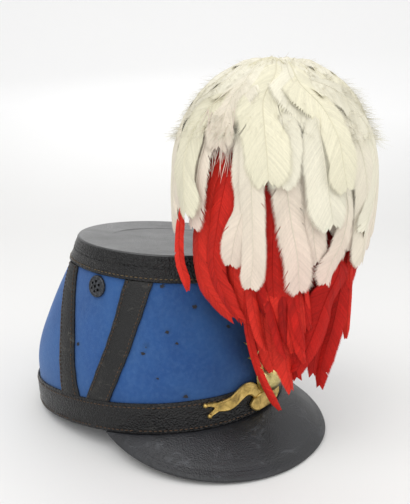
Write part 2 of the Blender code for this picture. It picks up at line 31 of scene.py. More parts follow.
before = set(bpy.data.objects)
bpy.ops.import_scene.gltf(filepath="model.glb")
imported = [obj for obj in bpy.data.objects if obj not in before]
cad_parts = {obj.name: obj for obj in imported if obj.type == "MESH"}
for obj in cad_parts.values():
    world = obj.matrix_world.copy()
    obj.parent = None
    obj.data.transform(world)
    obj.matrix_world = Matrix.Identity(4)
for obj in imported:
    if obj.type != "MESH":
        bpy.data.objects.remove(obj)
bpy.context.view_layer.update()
print("frame loaded:", len(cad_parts), "nodes")

hat = {
    "baseLength": 0.1982,
    "baseWidth": 0.1678,
    "squareness": 2.17,
    "topRadius": 0.0665,
    "topForward": 0.0222,
    "topTilt": math.radians(9.5),
    "height": 0.1180,
    "bandHeight": 0.0205,
    "topBandHeight": 0.0140,
    "leather": 0.0016,
    "gap": 0.0003,
    # share of the height, then share of the way from the base outline to the top one: belly, side
    "taper": (
        (0, 0, 0), (0.17, -0.01, 0.04), (0.29, 0.01, 0.17), (0.41, 0.105, 0.33),
        (0.55, 0.285, 0.52), (0.70, 0.51, 0.695), (0.85, 0.76, 0.855), (1, 1, 1),
    ),
    "sideRises": (50, 70),
    "sideFalls": (98, 133),
    # how it stands: pitched back, off the middle of the footprint
    "pitch": math.radians(-6.86072),
    "stand": (0.0, 0.0324675, 0.0121298),
}
standing = Matrix.Translation(hat["stand"]) @ Matrix.Rotation(hat["pitch"], 4, "X")
topPlace = Matrix.Translation((0, -hat["topForward"], hat["height"])) @ Matrix.Rotation(hat["topTilt"], 4, "X")
standingArray, topArray = np.array(standing), np.array(topPlace)


def move(points, matrix):
    points = np.asarray(points, float)
    return points @ matrix[:3, :3].T + matrix[:3, 3]


def smoothTable(table, x):
    # a smooth curve through the rows of a two-column table
    xs = np.array([row[0] for row in table], float)
    ys = np.array([row[1] for row in table], float)
    slopes = np.empty_like(ys)
    slopes[0] = (ys[1] - ys[0]) / (xs[1] - xs[0])
    slopes[-1] = (ys[-1] - ys[-2]) / (xs[-1] - xs[-2])
    slopes[1:-1] = (ys[2:] - ys[:-2]) / (xs[2:] - xs[:-2])
    x = np.asarray(x, float)
    i = np.clip(np.searchsorted(xs, x, side="left") - 1, 0, len(xs) - 2)
    span = xs[i + 1] - xs[i]
    t = (x - xs[i]) / span
    return (
        (2 * t**3 - 3 * t**2 + 1) * ys[i]
        + (t**3 - 2 * t**2 + t) * span * slopes[i]
        + (3 * t**2 - 2 * t**3) * ys[i + 1]
        + (t**3 - t**2) * span * slopes[i + 1]
    )


def turnOf(columns):
    return np.linspace(0, 2 * np.pi, columns, endpoint=False)


def baseOutline(angle):
    sine, cosine = np.sin(angle), np.cos(angle)
    power = 2 / hat["squareness"]
    x = hat["baseWidth"] / 2 * np.sign(sine) * np.abs(sine) ** power
    y = -hat["baseLength"] / 2 * np.sign(cosine) * np.abs(cosine) ** power
    return np.stack([x, y, np.zeros_like(x)], -1)


def topOutline(angle, radius=None, rise=0.0):
    radius = hat["topRadius"] if radius is None else radius
    ring = np.stack([radius * np.sin(angle), -radius * np.cos(angle), np.zeros_like(angle) + rise], -1)
    return move(ring, topArray)


def eased(value, low, high):
    level = np.clip((value - low) / (high - low), 0, 1)
    return level * level * (3 - 2 * level)


def skin(angle, share):
    angle, share = np.broadcast_arrays(np.asarray(angle, float), np.asarray(share, float))
    low, high = baseOutline(angle), topOutline(angle)
    turn = np.degrees(np.abs((angle + np.pi) % (2 * np.pi) - np.pi))
    atSide = eased(turn, *hat["sideRises"]) * (1 - eased(turn, *hat["sideFalls"]))
    belly = smoothTable([(row[0], row[1]) for row in hat["taper"]], share)
    side = smoothTable([(row[0], row[2]) for row in hat["taper"]], share)
    taper = (belly + (side - belly) * atSide)[..., None]
    point = low + (high - low) * taper
    point[..., 2] = low[..., 2] + (high[..., 2] - low[..., 2]) * share
    return point


def skinNormal(angle, share):
    step = 0.004
    low = np.clip(np.asarray(share, float) - step, 0, 1)
    high = np.clip(np.asarray(share, float) + step, 0, 1)
    around = skin(np.asarray(angle) + step, share) - skin(np.asarray(angle) - step, share)
    upward = skin(angle, high) - skin(angle, low)
    normal = np.cross(around, upward)
    return normal / np.linalg.norm(normal, axis=-1, keepdims=True)


def onCrown(angle, share, proud):
    # points that stand proud of the cloth, in the hat's own square frame
    proud = np.asarray(proud, float)
    return skin(angle, share) + skinNormal(angle, share) * proud[..., None]


def sideHeight(angle):
    return topOutline(np.asarray(angle, float))[..., 2]


def shareAt(angle, height):
    return np.asarray(height, float) / sideHeight(angle)


def topBandShare(angle, below):
    return 1 - (hat["topBandHeight"] + below) / sideHeight(angle)


def perRadian(angle, share):
    # how far the cloth runs sideways for each radian
    step = 0.01
    return float(np.linalg.norm(skin(angle + step, share) - skin(angle, share))) / step


def addObject(name, data):
    made = bpy.data.objects.new(name, data)
    bpy.context.scene.collection.objects.link(made)
    return made


def meshPiece(name, points, faces, material, uv=None, tint=None, smooth=True, sharp=None,
              place=standingArray):
    points = move(np.asarray(points, float).reshape(-1, 3), place)
    mesh = bpy.data.meshes.new(name)
    mesh.from_pydata([tuple(p) for p in points], [], [tuple(map(int, f)) for f in faces])
    mesh.materials.append(material)
    if uv is not None:
        layer = mesh.uv_layers.new(name="along")
        corner = np.zeros(len(mesh.loops), dtype=np.int32)
        mesh.loops.foreach_get("vertex_index", corner)
        layer.data.foreach_set("uv", np.asarray(uv, np.float32).reshape(-1, 2)[corner].ravel())
    if tint is not None:
        colours = mesh.color_attributes.new("tint", "FLOAT_COLOR", "POINT")
        values = np.ones((len(mesh.vertices), 4), np.float32)
        values[:, :3] = np.asarray(tint, np.float32).reshape(-1, 3)
        colours.data.foreach_set("color", values.ravel())
    if smooth:
        mesh.shade_smooth()
        if sharp:
            mesh.set_sharp_from_angle(angle=math.radians(sharp))
    mesh.validate()
    piece = addObject(name, mesh)
    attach(piece, "root")
    return piece


def gridFaces(rows, columns, closeRows=False, closeColumns=False, start=0, flip=False):
    faces = []
    for i in range(rows if closeRows else rows - 1):
        for j in range(columns if closeColumns else columns - 1):
            a = start + i * columns + j
            b = start + i * columns + (j + 1) % columns
            c = start + ((i + 1) % rows) * columns + (j + 1) % columns
            d = start + ((i + 1) % rows) * columns + j
            faces.append((a, d, c, b) if flip else (a, b, c, d))
    return faces


def tubeFaces(rows, columns, start=0, flip=False):
    # rings joined into a tube, with a lid at either end
    first = tuple(range(start, start + columns))
    last = tuple(k + (rows - 1) * columns for k in first)
    lids = [first, last[::-1]] if flip else [first[::-1], last]
    return gridFaces(rows, columns, closeColumns=True, start=start, flip=flip) + lids


def flatRing(radius, height, columns):
    a = turnOf(columns)
    return np.stack([radius * np.cos(a), radius * np.sin(a), np.full(columns, height)], -1)


def roundedLoop(width, thickness, radius, steps, crown):
    # a strip of leather as (across, proud) pairs: rounded edges, and a face that swells in the middle
    low = hat["gap"]
    centres = (
        (width / 2 - radius, low + radius, -90),
        (width / 2 - radius, low + thickness - radius, 0),
        (-width / 2 + radius, low + thickness - radius, 90),
        (-width / 2 + radius, low + radius, 180),
    )
    loop = []
    for cx, cy, start in centres:
        for k in range(steps + 1):
            a = math.radians(start + 90 * k / steps)
            loop.append((cx + radius * math.cos(a), cy + radius * math.sin(a)))
    split = 2 * steps + 2
    left, right = loop[split - 1], loop[split]
    middle = []
    for k in range(1, 6):
        t = k / 6
        middle.append((left[0] + (right[0] - left[0]) * t, left[1] + crown * math.sin(math.pi * t)))
    return loop[:split] + middle + loop[split:]


class Shade:
    # a short way to build a node tree on the Principled shader
    def __init__(self, name):
        self.material = bpy.data.materials.new(name)
        self.material.use_nodes = True
        self.tree = self.material.node_tree
        self.shader = self.tree.nodes["Principled BSDF"]

    def put(self, socket, value):
        # a link from another node, or a fixed number or colour
        if hasattr(value, "is_output"):
            self.tree.links.new(value, socket)
        elif isinstance(value, (int, float)):
            socket.default_value = value
        else:
            socket.default_value = (*value, 1)

    def node(self, kind, inputs=None, **values):
        made = self.tree.nodes.new(kind)
        for key, value in values.items():
            setattr(made, key, value)
        for key, value in (inputs or {}).items():
            self.put(made.inputs[key], value)
        return made

    def coordinates(self, scale=(1, 1, 1), uvName=None):
        if uvName:
            source = self.node("ShaderNodeUVMap", uv_map=uvName).outputs["UV"]
        else:
            source = self.node("ShaderNodeTexCoord").outputs["Object"]
        mapping = self.node("ShaderNodeMapping", {"Vector": source})
        mapping.inputs["Scale"].default_value = scale
        return mapping.outputs["Vector"]

    def noise(self, vector, scale, detail=4, roughness=0.55, distortion=0.0):
        return self.node("ShaderNodeTexNoise", {
            "Vector": vector, "Scale": scale, "Detail": detail, "Roughness": roughness, "Distortion": distortion,
        }).outputs["Fac"]

    def cells(self, vector, scale, smoothness):
        inputs = {"Vector": vector, "Scale": scale, "Smoothness": smoothness}
        return self.node("ShaderNodeTexVoronoi", inputs, feature="SMOOTH_F1").outputs["Distance"]

    def ramp(self, value, stops):
        # each stop is a place with a grey or a colour
        made = self.node("ShaderNodeValToRGB", {"Fac": value})
        while len(made.color_ramp.elements) < len(stops):
            made.color_ramp.elements.new(0.5)
        for element, (place, tone) in zip(made.color_ramp.elements, stops):
            element.position = place
            element.color = (*tone, 1) if isinstance(tone, tuple) else (tone, tone, tone, 1)
        return made.outputs["Color"]

    def mix(self, amount, a, b, blend="MIX"):
        made = self.node("ShaderNodeMix", data_type="RGBA", blend_type=blend)
        for place, value in ((0, amount), (6, a), (7, b)):
            self.put(made.inputs[place], value)
        return made.outputs[2]

    def maths(self, operation, a, b):
        return self.node("ShaderNodeMath", {0: a, 1: b}, operation=operation).outputs[0]

    def bump(self, height, distance, strength, after=None):
        inputs = {"Height": height, "Distance": distance, "Strength": strength}
        if after is not None:
            inputs["Normal"] = after
        return self.node("ShaderNodeBump", inputs).outputs["Normal"]

    def finish(self, colour, roughness, normal=None, **fixed):
        inputs = {"Base Color": colour, "Roughness": roughness}
        if normal is not None:
            inputs["Normal"] = normal
        for name, value in fixed.items():
            inputs[name.replace("_", " ")] = value
        for name, value in inputs.items():
            self.put(self.shader.inputs[name], value)
        return self.material


def grainedLeather(name, values):
    shade = Shade(name)
    place = shade.coordinates()
    pebble = shade.cells(place, values["pebble"], 0.35)
    fine = shade.noise(place, values["pebble"] * 2.1, 5, 0.6)
    blotch = shade.noise(place, 26, 5, 0.6, 0.4)
    scuffAndSheen = shade.noise(shade.coordinates((1, 1, 2.6)), 58, 7, 0.68, 0.9)
    tone = shade.ramp(blotch, ((0.30, values["dark"]), (0.72, values["light"])))
    # lighter rubbed patches: worn leather, and partly painted sheen
    rubbedAndSheen = shade.ramp(scuffAndSheen, ((0.57, 0.0), (0.70, 1.0)))
    colour = shade.mix(shade.maths("MULTIPLY", rubbedAndSheen, values["rubAndSheen"]), tone, values["rubbedAndSheen"])
    rough = shade.ramp(blotch, ((0.25, values["gloss"][0]), (0.75, values["gloss"][1])))
    height = shade.maths("ADD", pebble, shade.maths("MULTIPLY", fine, 0.55))
    normal = shade.bump(height, values["depth"], 0.9)
    creases = shade.noise(shade.coordinates((1, 1, 1.8)), 34, 3, 0.5, 1.8)
    crease = shade.ramp(creases, ((0.47, 0.0), (0.50, 1.0), (0.53, 0.0)))
    normal = shade.bump(crease, values["depth"] * 0.8, 0.35, normal)
    return shade.finish(colour, rough, normal, Specular_IOR_Level=values["specular"])


# the rubbed colour is partly worn leather and partly painted sheen; rub is how much of it shows
leather = {
    "bands": {
        "pebble": 760, "dark": (0.0030, 0.0030, 0.0034), "light": (0.0080, 0.0080, 0.0084),
        "rubbedAndSheen": (0.050, 0.048, 0.043), "rubAndSheen": 0.30, "gloss": (0.18, 0.46), "depth": 0.00080, "specular": 0.30,
    },
    "straps": {
        "pebble": 980, "dark": (0.0040, 0.0040, 0.0042), "light": (0.0110, 0.0110, 0.0108),
        "rubbedAndSheen": (0.085, 0.082, 0.072), "rubAndSheen": 0.50, "gloss": (0.38, 0.56), "depth": 0.00040, "specular": 0.34,
    },
    # the top leather is lighter than the bands: partly painted sheen on the faces that look up
    "top": {
        "pebble": 900, "dark": (0.020, 0.021, 0.022), "light": (0.050, 0.051, 0.052),
        "rubbedAndSheen": (0.105, 0.106, 0.106), "rubAndSheen": 0.60, "gloss": (0.22, 0.50), "depth": 0.00016, "specular": 0.48,
    },
    "peak": {
        "pebble": 1000, "dark": (0.0085, 0.0090, 0.0105), "light": (0.0215, 0.0225, 0.0265),
        "rubbedAndSheen": (0.095, 0.100, 0.112), "rubAndSheen": 0.42, "gloss": (0.30, 0.48), "depth": 0.00026, "specular": 0.42,
    },
}
bandLeather = grainedLeather("bandLeather", leather["bands"])
strapLeather = grainedLeather("strapLeather", leather["straps"])
topLeather = grainedLeather("topLeather", leather["top"])
peakLeather = grainedLeather("peakLeather", leather["peak"])

cloth = {
    "blue": (0.015, 0.067, 0.225),
    "faded": (0.034, 0.101, 0.255),
    "dark": (0.009, 0.035, 0.135),
    "lint": (0.075, 0.155, 0.310),
    "sheen": (0.45, 0.60, 0.90),
    "wall": 0.0025,
    "ripple": 0.00016,
    # darkening over the lower band, then in front near the badge: grime and painted shadow of the plume
    "lowDarkening": 0.10,
    "frontGrimeAndShadow": 0.48,
    "nap": 950,
    "roughness": 0.92,
    "holeScale": 0.0021,
    # moth holes: degrees round from the front, share of the height, size
    "holes": (
        (-34.5, 0.735, 1.1), (-58, 0.515, 1.0), (-59.5, 0.47, 0.8), (-43.5, 0.53, 0.6), (-48, 0.595, 0.7),
        (-96, 0.46, 0.8), (-51, 0.86, 0.9), (-40.5, 0.215, 1.0), (-17, 0.59, 0.8), (-52, 0.33, 0.5),
        (38, 0.62, 0.9), (71, 0.34, 0.7), (96, 0.71, 0.8), (142, 0.44, 1.0), (-150, 0.56, 0.9), (171, 0.30, 0.7),
    ),
}


def clothMaterial():
    shade = Shade("blueCloth")
    place = shade.coordinates()
    broad = shade.noise(place, 9, 5, 0.6, 0.3)
    patch = shade.noise(place, 42, 6, 0.62)
    nap = shade.noise(place, cloth["nap"], 4, 0.75)
    mottle = shade.noise(place, 330, 3, 0.6)
    tone = shade.ramp(broad, ((0.30, cloth["blue"]), (0.72, cloth["faded"])))
    tone = shade.mix(shade.ramp(patch, ((0.30, 0.40), (0.62, 0.0))), tone, cloth["dark"])
    tone = shade.mix(shade.ramp(mottle, ((0.42, 0.0), (0.75, 0.22))), tone, cloth["lint"])
    # the tint layer carries the grime and the painted shadow in front
    soilAndShade = shade.node("ShaderNodeVertexColor", layer_name="tint").outputs["Color"]
    colour = shade.mix(1.0, tone, soilAndShade, "MULTIPLY")
    height = shade.maths("ADD", nap, shade.maths("MULTIPLY", mottle, 0.8))
    normal = shade.bump(height, 0.00030, 0.75)
    return shade.finish(
        colour, cloth["roughness"], normal, Specular_IOR_Level=0.25, Sheen_Weight=0.35, Sheen_Roughness=0.5,
        Sheen_Tint=cloth["sheen"],
    )


threads = {  # lit and shaded
    "ochre": ((0.165, 0.108, 0.042), (0.050, 0.034, 0.018)),
    "brown": ((0.105, 0.052, 0.022), (0.034, 0.020, 0.012)),
    "dark": ((0.010, 0.010, 0.014), (0.004, 0.004, 0.005)),
}
brass = {
    "scroll": {
        "bright": (0.78, 0.57, 0.21), "aged": (0.50, 0.35, 0.11), "dark": (0.15, 0.105, 0.042), "gloss": (0.36, 0.55),
    },
    "shell": {
        "bright": (0.70, 0.60, 0.27), "aged": (0.47, 0.385, 0.155), "dark": (0.20, 0.155, 0.06), "gloss": (0.22, 0.44),
    },
}
feathers = {  # streak is how dark the lines between the barbs are, 1 for none
    "white": {"streak": 0.84, "roughness": 0.75, "sheen": 0.20, "sheenTint": (1.0, 0.97, 0.88)},
    "red": {"streak": 0.62, "roughness": 0.66, "sheen": 0.03, "sheenTint": (1.0, 0.20, 0.12)},
}


def threadMaterial(name, colour, dark):
    shade = Shade(name)
    place = shade.coordinates()
    tone = shade.mix(shade.noise(place, 420, 4, 0.6), colour, dark)
    normal = shade.bump(shade.noise(place, 2600, 3), 0.00008, 0.8)
    return shade.finish(tone, 0.75, normal)


def brassMaterial(name, values):
    shade = Shade(name)
    place = shade.coordinates()
    patina = shade.noise(place, 150, 7, 0.62, 0.5)
    spots = shade.noise(place, 620, 4, 0.6)
    tone = shade.ramp(patina, ((0.28, values["dark"]), (0.47, values["aged"]), (0.72, values["bright"])))
    tone = shade.mix(shade.ramp(spots, ((0.55, 0.0), (0.72, 0.55))), tone, values["dark"])
    rough = shade.ramp(patina, ((0.25, values["gloss"][1]), (0.75, values["gloss"][0])))
    height = shade.maths("ADD", shade.noise(place, 210, 4), shade.maths("MULTIPLY", spots, 0.4))
    return shade.finish(tone, rough, shade.bump(height, 0.00016, 0.6), Metallic=1.0)


def enamelMaterial():
    shade = Shade("blackedMetal")
    place = shade.coordinates()
    wear = shade.noise(place, 480, 6, 0.65)
    tone = shade.ramp(wear, ((0.45, (0.016, 0.018, 0.022)), (0.74, (0.075, 0.082, 0.095))))
    return shade.finish(tone, 0.34, shade.bump(wear, 0.00010, 0.6), Metallic=0.55, Specular_IOR_Level=0.6)


def featherMaterial(name, values):
    # the tint comes from the feathers themselves; the barbs run along u, the shaft along v
    shade = Shade(name)
    fine = shade.noise(shade.coordinates((1.5, 40.0, 1.0), "along"), 6.0, 4, 0.6)
    tint = shade.node("ShaderNodeVertexColor", layer_name="tint").outputs["Color"]
    colour = shade.mix(1.0, tint, shade.ramp(fine, ((0.30, values["streak"]), (0.70, 1.0))), "MULTIPLY")
    return shade.finish(
        colour, values["roughness"], shade.bump(fine, 0.00008, 0.5), Specular_IOR_Level=0.14,
        Sheen_Weight=values["sheen"], Sheen_Roughness=0.4, Sheen_Tint=values["sheenTint"],
    )


blueCloth = clothMaterial()
ochreThread = threadMaterial("ochreThread", *threads["ochre"])
brownThread = threadMaterial("brownThread", *threads["brown"])
holeShade = threadMaterial("holeShade", *threads["dark"])
scrollBrass = brassMaterial("scrollBrass", brass["scroll"])
shellBrass = brassMaterial("shellBrass", brass["shell"])
blackedMetal = enamelMaterial()
whiteFeather = featherMaterial("whiteFeather", feathers["white"])
redFeather = featherMaterial("redFeather", feathers["red"])
print("materials made")


def makeCloth():
    columns, rows = 220, 64
    grid, high = np.meshgrid(turnOf(columns), np.linspace(0, 1, rows))
    # the cloth isn't quite even over the shell
    ripple = cloth["ripple"] * np.sin(grid * 9 + 3 * high) * np.sin(high * 11 + grid * 2) * np.sin(np.pi * high)
    points = np.concatenate([onCrown(grid, high, ripple), onCrown(grid[::-1], high[::-1], -cloth["wall"])])
    degrees = (np.degrees(grid) + 180) % 360 - 180
    # darker over the lower band; in front, near the badge, grime and painted shadow of the plume
    low = np.clip((0.30 - high) / 0.14, 0, 1) * cloth["lowDarkening"]
    front = cloth["frontGrimeAndShadow"] * np.exp(-((degrees / 38) ** 2)) * (0.6 + 0.4 * high)
    soilAndShade = np.ones((2 * rows, columns, 3))
    soilAndShade[:rows] *= (1 - low - front)[..., None]
    # the inner face is made darker
    soilAndShade[rows:] *= 0.35

    # moth holes: small ragged pits of painted shade, each in a dull ring
    rng = random.Random(7)
    corners, meanRadius, meanHeight = 11, 0.082, 0.115
    pitPoints, pitFaces = [], []
    for holeDegrees, share, radius in cloth["holes"]:
        away = np.hypot(np.radians(degrees - holeDegrees) * meanRadius, (high - share) * meanHeight)
        soilAndShade[:rows] *= (1 - 0.45 * np.exp(-((away / (radius * 0.0017)) ** 2)))[..., None]
        start = len(pitPoints)
        centre = math.radians(holeDegrees)
        wide, tall = perRadian(centre, share), sideHeight(centre)
        pitPoints.append(onCrown(centre, share, 0.00006))
        for k in range(corners):
            a = 2 * math.pi * k / corners
            r = radius * cloth["holeScale"] * rng.uniform(0.5, 1.15)
            pitPoints.append(onCrown(
                centre + 1.15 * r * math.cos(a) / wide, share + 0.8 * r * math.sin(a) / tall, 0.00005,
            ))
            pitFaces.append((start, start + 1 + k, start + 1 + (k + 1) % corners))
    faces = gridFaces(2 * rows, columns, closeRows=True, closeColumns=True)
    piece = meshPiece("clothCrown", points, faces, blueCloth, tint=soilAndShade)
    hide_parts("crown_cloth")
    meshPiece("mothHoles", pitPoints, pitFaces, holeShade)


makeCloth()
print("cloth made")

stitch = {
    "pitch": 0.00335,
    "length": 0.00215,
    "radius": 0.00030,
    "inset": 0.0021,
    "missing": 0.02,
}


def makeStitches(name, path, normals, thread, seed, values=stitch):
    # short rounded stitches along a path of closely spaced points
    rng = random.Random(seed)
    path, normals = np.asarray(path), np.asarray(normals)
    length = np.concatenate([[0], np.cumsum(np.linalg.norm(np.diff(path, axis=0), axis=1))])

    def at(table, s):
        return np.array([np.interp(s, length, table[:, i]) for i in range(3)])

    points, faces = [], []
    count, corners = int(length[-1] / values["pitch"]), 6
    rings = ((-0.5, 0.25), (-0.36, 0.9), (0, 1.0), (0.36, 0.9), (0.5, 0.25))
    for k in range(count):
        if rng.random() < values["missing"]:
            continue
        middle = (k + 0.5) * length[-1] / count
        half = values["length"] / 2 * rng.uniform(0.88, 1.1)
        first, last = at(path, middle - half), at(path, middle + half)
        normal = at(normals, middle)
        normal /= np.linalg.norm(normal)
        tangent = (last - first) / np.linalg.norm(last - first)
        side = np.cross(normal, tangent)
        tangent = tangent + side * rng.uniform(-0.10, 0.10)
        centre = (first + last) / 2 + side * rng.uniform(-0.00008, 0.00008)
        faces += tubeFaces(len(rings), corners, len(points), flip=True)
        for along, wide in rings:
            lift = 0.45 * (1 - (2 * along) ** 2) - 0.25
            for m in range(corners):
                a = 2 * math.pi * m / corners
                r = values["radius"] * wide
                points.append(
                    centre
                    + tangent * along * 2 * half
                    + side * r * math.cos(a)
                    + normal * (r * math.sin(a) * 0.8 + values["radius"] * lift)
                )
    meshPiece(name, points, faces, thread)


lowerBand = {
    "columns": 240,
    "thickness": 0.0016,
    "edge": 0.0007,
    "crown": 0.00025,
    "stitchUp": 0.0026,
    "stitchDown": 0.0023,
}


def makeLowerBand():
    height, thick, columns = hat["bandHeight"], lowerBand["thickness"], lowerBand["columns"]
    angle = turnOf(columns)
    rings = []
    for across, proud in roundedLoop(height, thick, lowerBand["edge"], 4, lowerBand["crown"]):
        upright = height / 2 + across
        wave = 0.00012 * np.sin(angle * 7 + 1) + 0.00008 * np.sin(angle * 17)
        share = shareAt(angle, upright + wave * (upright / height))
        rings.append(onCrown(angle, np.clip(share, 0, 1), proud))
    faces = gridFaces(len(rings), columns, closeRows=True, closeColumns=True)
    piece = meshPiece("lowerBand", rings, faces, bandLeather, sharp=50)
    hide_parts("headband")
    angle = np.linspace(0, 2 * np.pi, 1200)
    for label, up in (("Upper", height - lowerBand["stitchUp"]), ("Lower", lowerBand["stitchDown"])):
        share = shareAt(angle, up)
        path = onCrown(angle, share, hat["gap"] + thick + 0.00018)
        seed = 11 + len(label) + int(up * 1e4)
        makeStitches("lowerBandStitch" + label, path, skinNormal(angle, share), brownThread, seed)


topBand = {
    "columns": 240,
    "thickness": 0.0016,
    "edge": 0.0007,
    "ridges": (0.0108, 0.0128, 0.0146),
    "ridgeHeight": 0.00034,
    "ridgeWidth": 0.00052,
    "swell": 0.0019,
    "stitchUp": 0.0088,
    "stitchDown": 0.0024,
    "disc": 0.0022,
    # inward from the rim, and the share of the drop to the disc there
    "fold": ((0.0012, 0.03), (0.0040, 0.16), (0.0090, 0.45), (0.0150, 0.80), (0.0210, 1.0)),
}


def makeTopBand():
    height, thick, edge, columns = hat["topBandHeight"], topBand["thickness"], topBand["edge"], topBand["columns"]
    low, rise = hat["gap"], hat["gap"] * 2 + topBand["disc"]
    # outer face from the lower edge up, over the rim, and back down inside
    outer = []
    for k in range(5):
        a = math.radians(-90 + 90 * k / 4)
        outer.append((edge + edge * math.sin(a), low + thick - edge + edge * math.cos(a)))
    for up in np.linspace(0.0012, height, 26):
        away = [(up - ridge) / topBand["ridgeWidth"] for ridge in topBand["ridges"]]
        bead = sum(topBand["ridgeHeight"] * math.exp(-(one**2)) for one in away)
        step = 0.00035 / (1 + math.exp(-(up - 0.0096) / 0.00025))
        outer.append((up, low + thick + bead + step))
    angle = turnOf(columns)

    def sideRing(up, proud):
        return onCrown(angle, np.clip(1 + (up - height) / sideHeight(angle), 0, 1), proud)

    rings = [sideRing(up, proud) for up, proud in outer]
    radius, swell = hat["topRadius"] + low, topBand["swell"]
    for k in range(1, 13):
        a = math.radians(90 * k / 12)
        rings.append(topOutline(angle, radius + swell * math.cos(a), (rise + thick) * math.sin(a)))
    drop = thick + hat["gap"] + 0.00068  # down to the disc's own top
    for inward, share in topBand["fold"]:
        rings.append(topOutline(angle, radius - inward, rise + thick - drop * share))
    rings.append(topOutline(angle, radius - 0.0012, rise + 0.00005))
    rings.append(topOutline(angle, radius + 0.0001, rise - 0.0006))
    rings += [sideRing(up, low) for up in np.linspace(height, edge, 8)]
    faces = gridFaces(len(rings), columns, closeRows=True, closeColumns=True)
    piece = meshPiece("topBand", rings, faces, bandLeather, sharp=60)
    # the rows that lie on the disc take the lighter top leather, partly painted sheen
    piece.data.materials.append(topLeather)
    for face in piece.data.polygons:  # the part that lies on the disc
        face.material_index = 1 if len(outer) + 6 <= face.index // columns < len(outer) + 17 else 0
    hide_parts("top_band")
    around = np.linspace(0, 2 * np.pi, 1200)
    finer = dict(stitch, radius=0.00022, length=0.0017, pitch=0.0026)
    for label, up, thread, seed, values in (
        ("Lower", topBand["stitchDown"], ochreThread, 31, stitch),
        ("Upper", topBand["stitchUp"], holeShade, 32, finer),  # a finer, blackened thread
    ):
        share = 1 + (up - height) / sideHeight(around)
        path = onCrown(around, share, low + thick + 0.00016)
        makeStitches("topBandStitch" + label, path, skinNormal(around, share), thread, seed, values)


def makeTopDisc():
    radius, columns = hat["topRadius"], 160
    angle = turnOf(columns)
    rings = []
    for r in np.linspace(0.0008, radius, 40):
        t = r / radius
        dish = -0.0008 * (1 - eased(t, 0.78, 0.98))
        wave = 0.00010 * np.sin(angle * 3 + 4 * t) * t + 0.00008 * np.sin(angle * 5 - 7 * t) * t
        rings.append(topOutline(angle, r, hat["gap"] + topBand["disc"] + dish + wave * (t < 0.95)))
    rings.append(topOutline(angle, radius, hat["gap"]))
    rings.append(topOutline(angle, 0.0008, hat["gap"]))
    piece = meshPiece("topDisc", rings, tubeFaces(len(rings), columns), topLeather, sharp=50)
    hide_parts("crown_top")


straps = {
    # degrees round from the front at the lower band and at the top one
    "front": {"degrees": (79.5, 64.5), "width": 0.0187, "crown": 0.00015},
    "rear": {"degrees": (93.5, 118.5), "width": 0.0165, "crown": 0.00085},
    "edge": 0.00065,
    "clear": 0.00012,
}


def makeStrap(name, side, values, node):
    low, high = (side * math.radians(x) for x in values["degrees"])
    width, crown, thick, clear = values["width"], values["crown"], hat["leather"], straps["clear"]
    loop = roundedLoop(width, thick, straps["edge"], 3, crown)
    # the last two of each row carry the stitches
    seam = width / 2 - stitch["inset"]
    swell = crown * math.sin(math.pi * stitch["inset"] / width)
    across = np.array([pair[0] for pair in loop] + [-seam, seam])
    proud = np.array([pair[1] for pair in loop] + [hat["gap"] + thick + swell * 0.9 + 0.00012] * 2)
    rows, normals = [], []
    for level in np.linspace(0, 1, 60):
        middle = low + (high - low) * level
        start, end = shareAt(middle, hat["bandHeight"] + clear), topBandShare(middle, clear)
        wide = perRadian(middle, start + (end - start) * level)
        slant = math.atan2((high - low) * wide, (end - start) * sideHeight(middle))
        wander = 0.00012 * math.sin(level * 21 + side) + 0.0001 * math.sin(level * 47)
        at = middle + (across + wander) / wide / math.cos(slant)
        first, last = shareAt(at, hat["bandHeight"] + clear), topBandShare(at, clear)
        up = first + (last - first) * level
        rows.append(onCrown(at, up, proud))
        normals.append(skinNormal(at[-2:], up[-2:]))
    rows, normals = np.array(rows), np.array(normals)
    faces = tubeFaces(len(rows), len(loop), flip=side > 0)
    piece = meshPiece(name, rows[:, :-2], faces, strapLeather, sharp=50)
    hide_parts(node)
    finer = dict(stitch, length=0.0019, radius=0.00030, pitch=0.0029)
    for k, letter in enumerate("AB"):
        seed = 49 + 2 * k + len(name)
        makeStitches(f"{name}Stitch{letter}", rows[:, k - 2], normals[:, k], brownThread, seed, finer)


makeLowerBand()
makeTopBand()
makeTopDisc()
for sideName, side in (("Right", -1), ("Left", 1)):
    for place in ("front", "rear"):
        makeStrap(f"strap{sideName}{place.title()}", side, straps[place], f"strap_{sideName.lower()}_{place}")
print("bands and straps made")

peak = {
    "reach": 0.0339,
    "drop": 0.0262,
    "halfAngle": math.radians(76),
    "thickness": 0.0024,
    "tuck": 0.0026,
    "curve": 1.35,
    "grooves": (0.0062, 0.0078),
    "grooveDepth": 0.00030,
    "grooveWidth": 0.00045,
    "waviness": 0.00016,
}


def flatNormal(angle):
    # straight out from the lower edge of the crown, without a slope
    outward = skinNormal(angle, 0.0)
    outward[..., 2] = 0
    return outward / np.linalg.norm(outward, axis=-1, keepdims=True)


def peakPoint(angle, out):
    full = 1 - (angle / peak["halfAngle"]) ** 2
    point = onCrown(angle, 0.0, hat["gap"] + hat["leather"])
    point += flatNormal(angle) * (peak["reach"] * full * out)[..., None]
    point[..., 2] = -hat["gap"] - peak["drop"] * full * out ** peak["curve"]
    return point


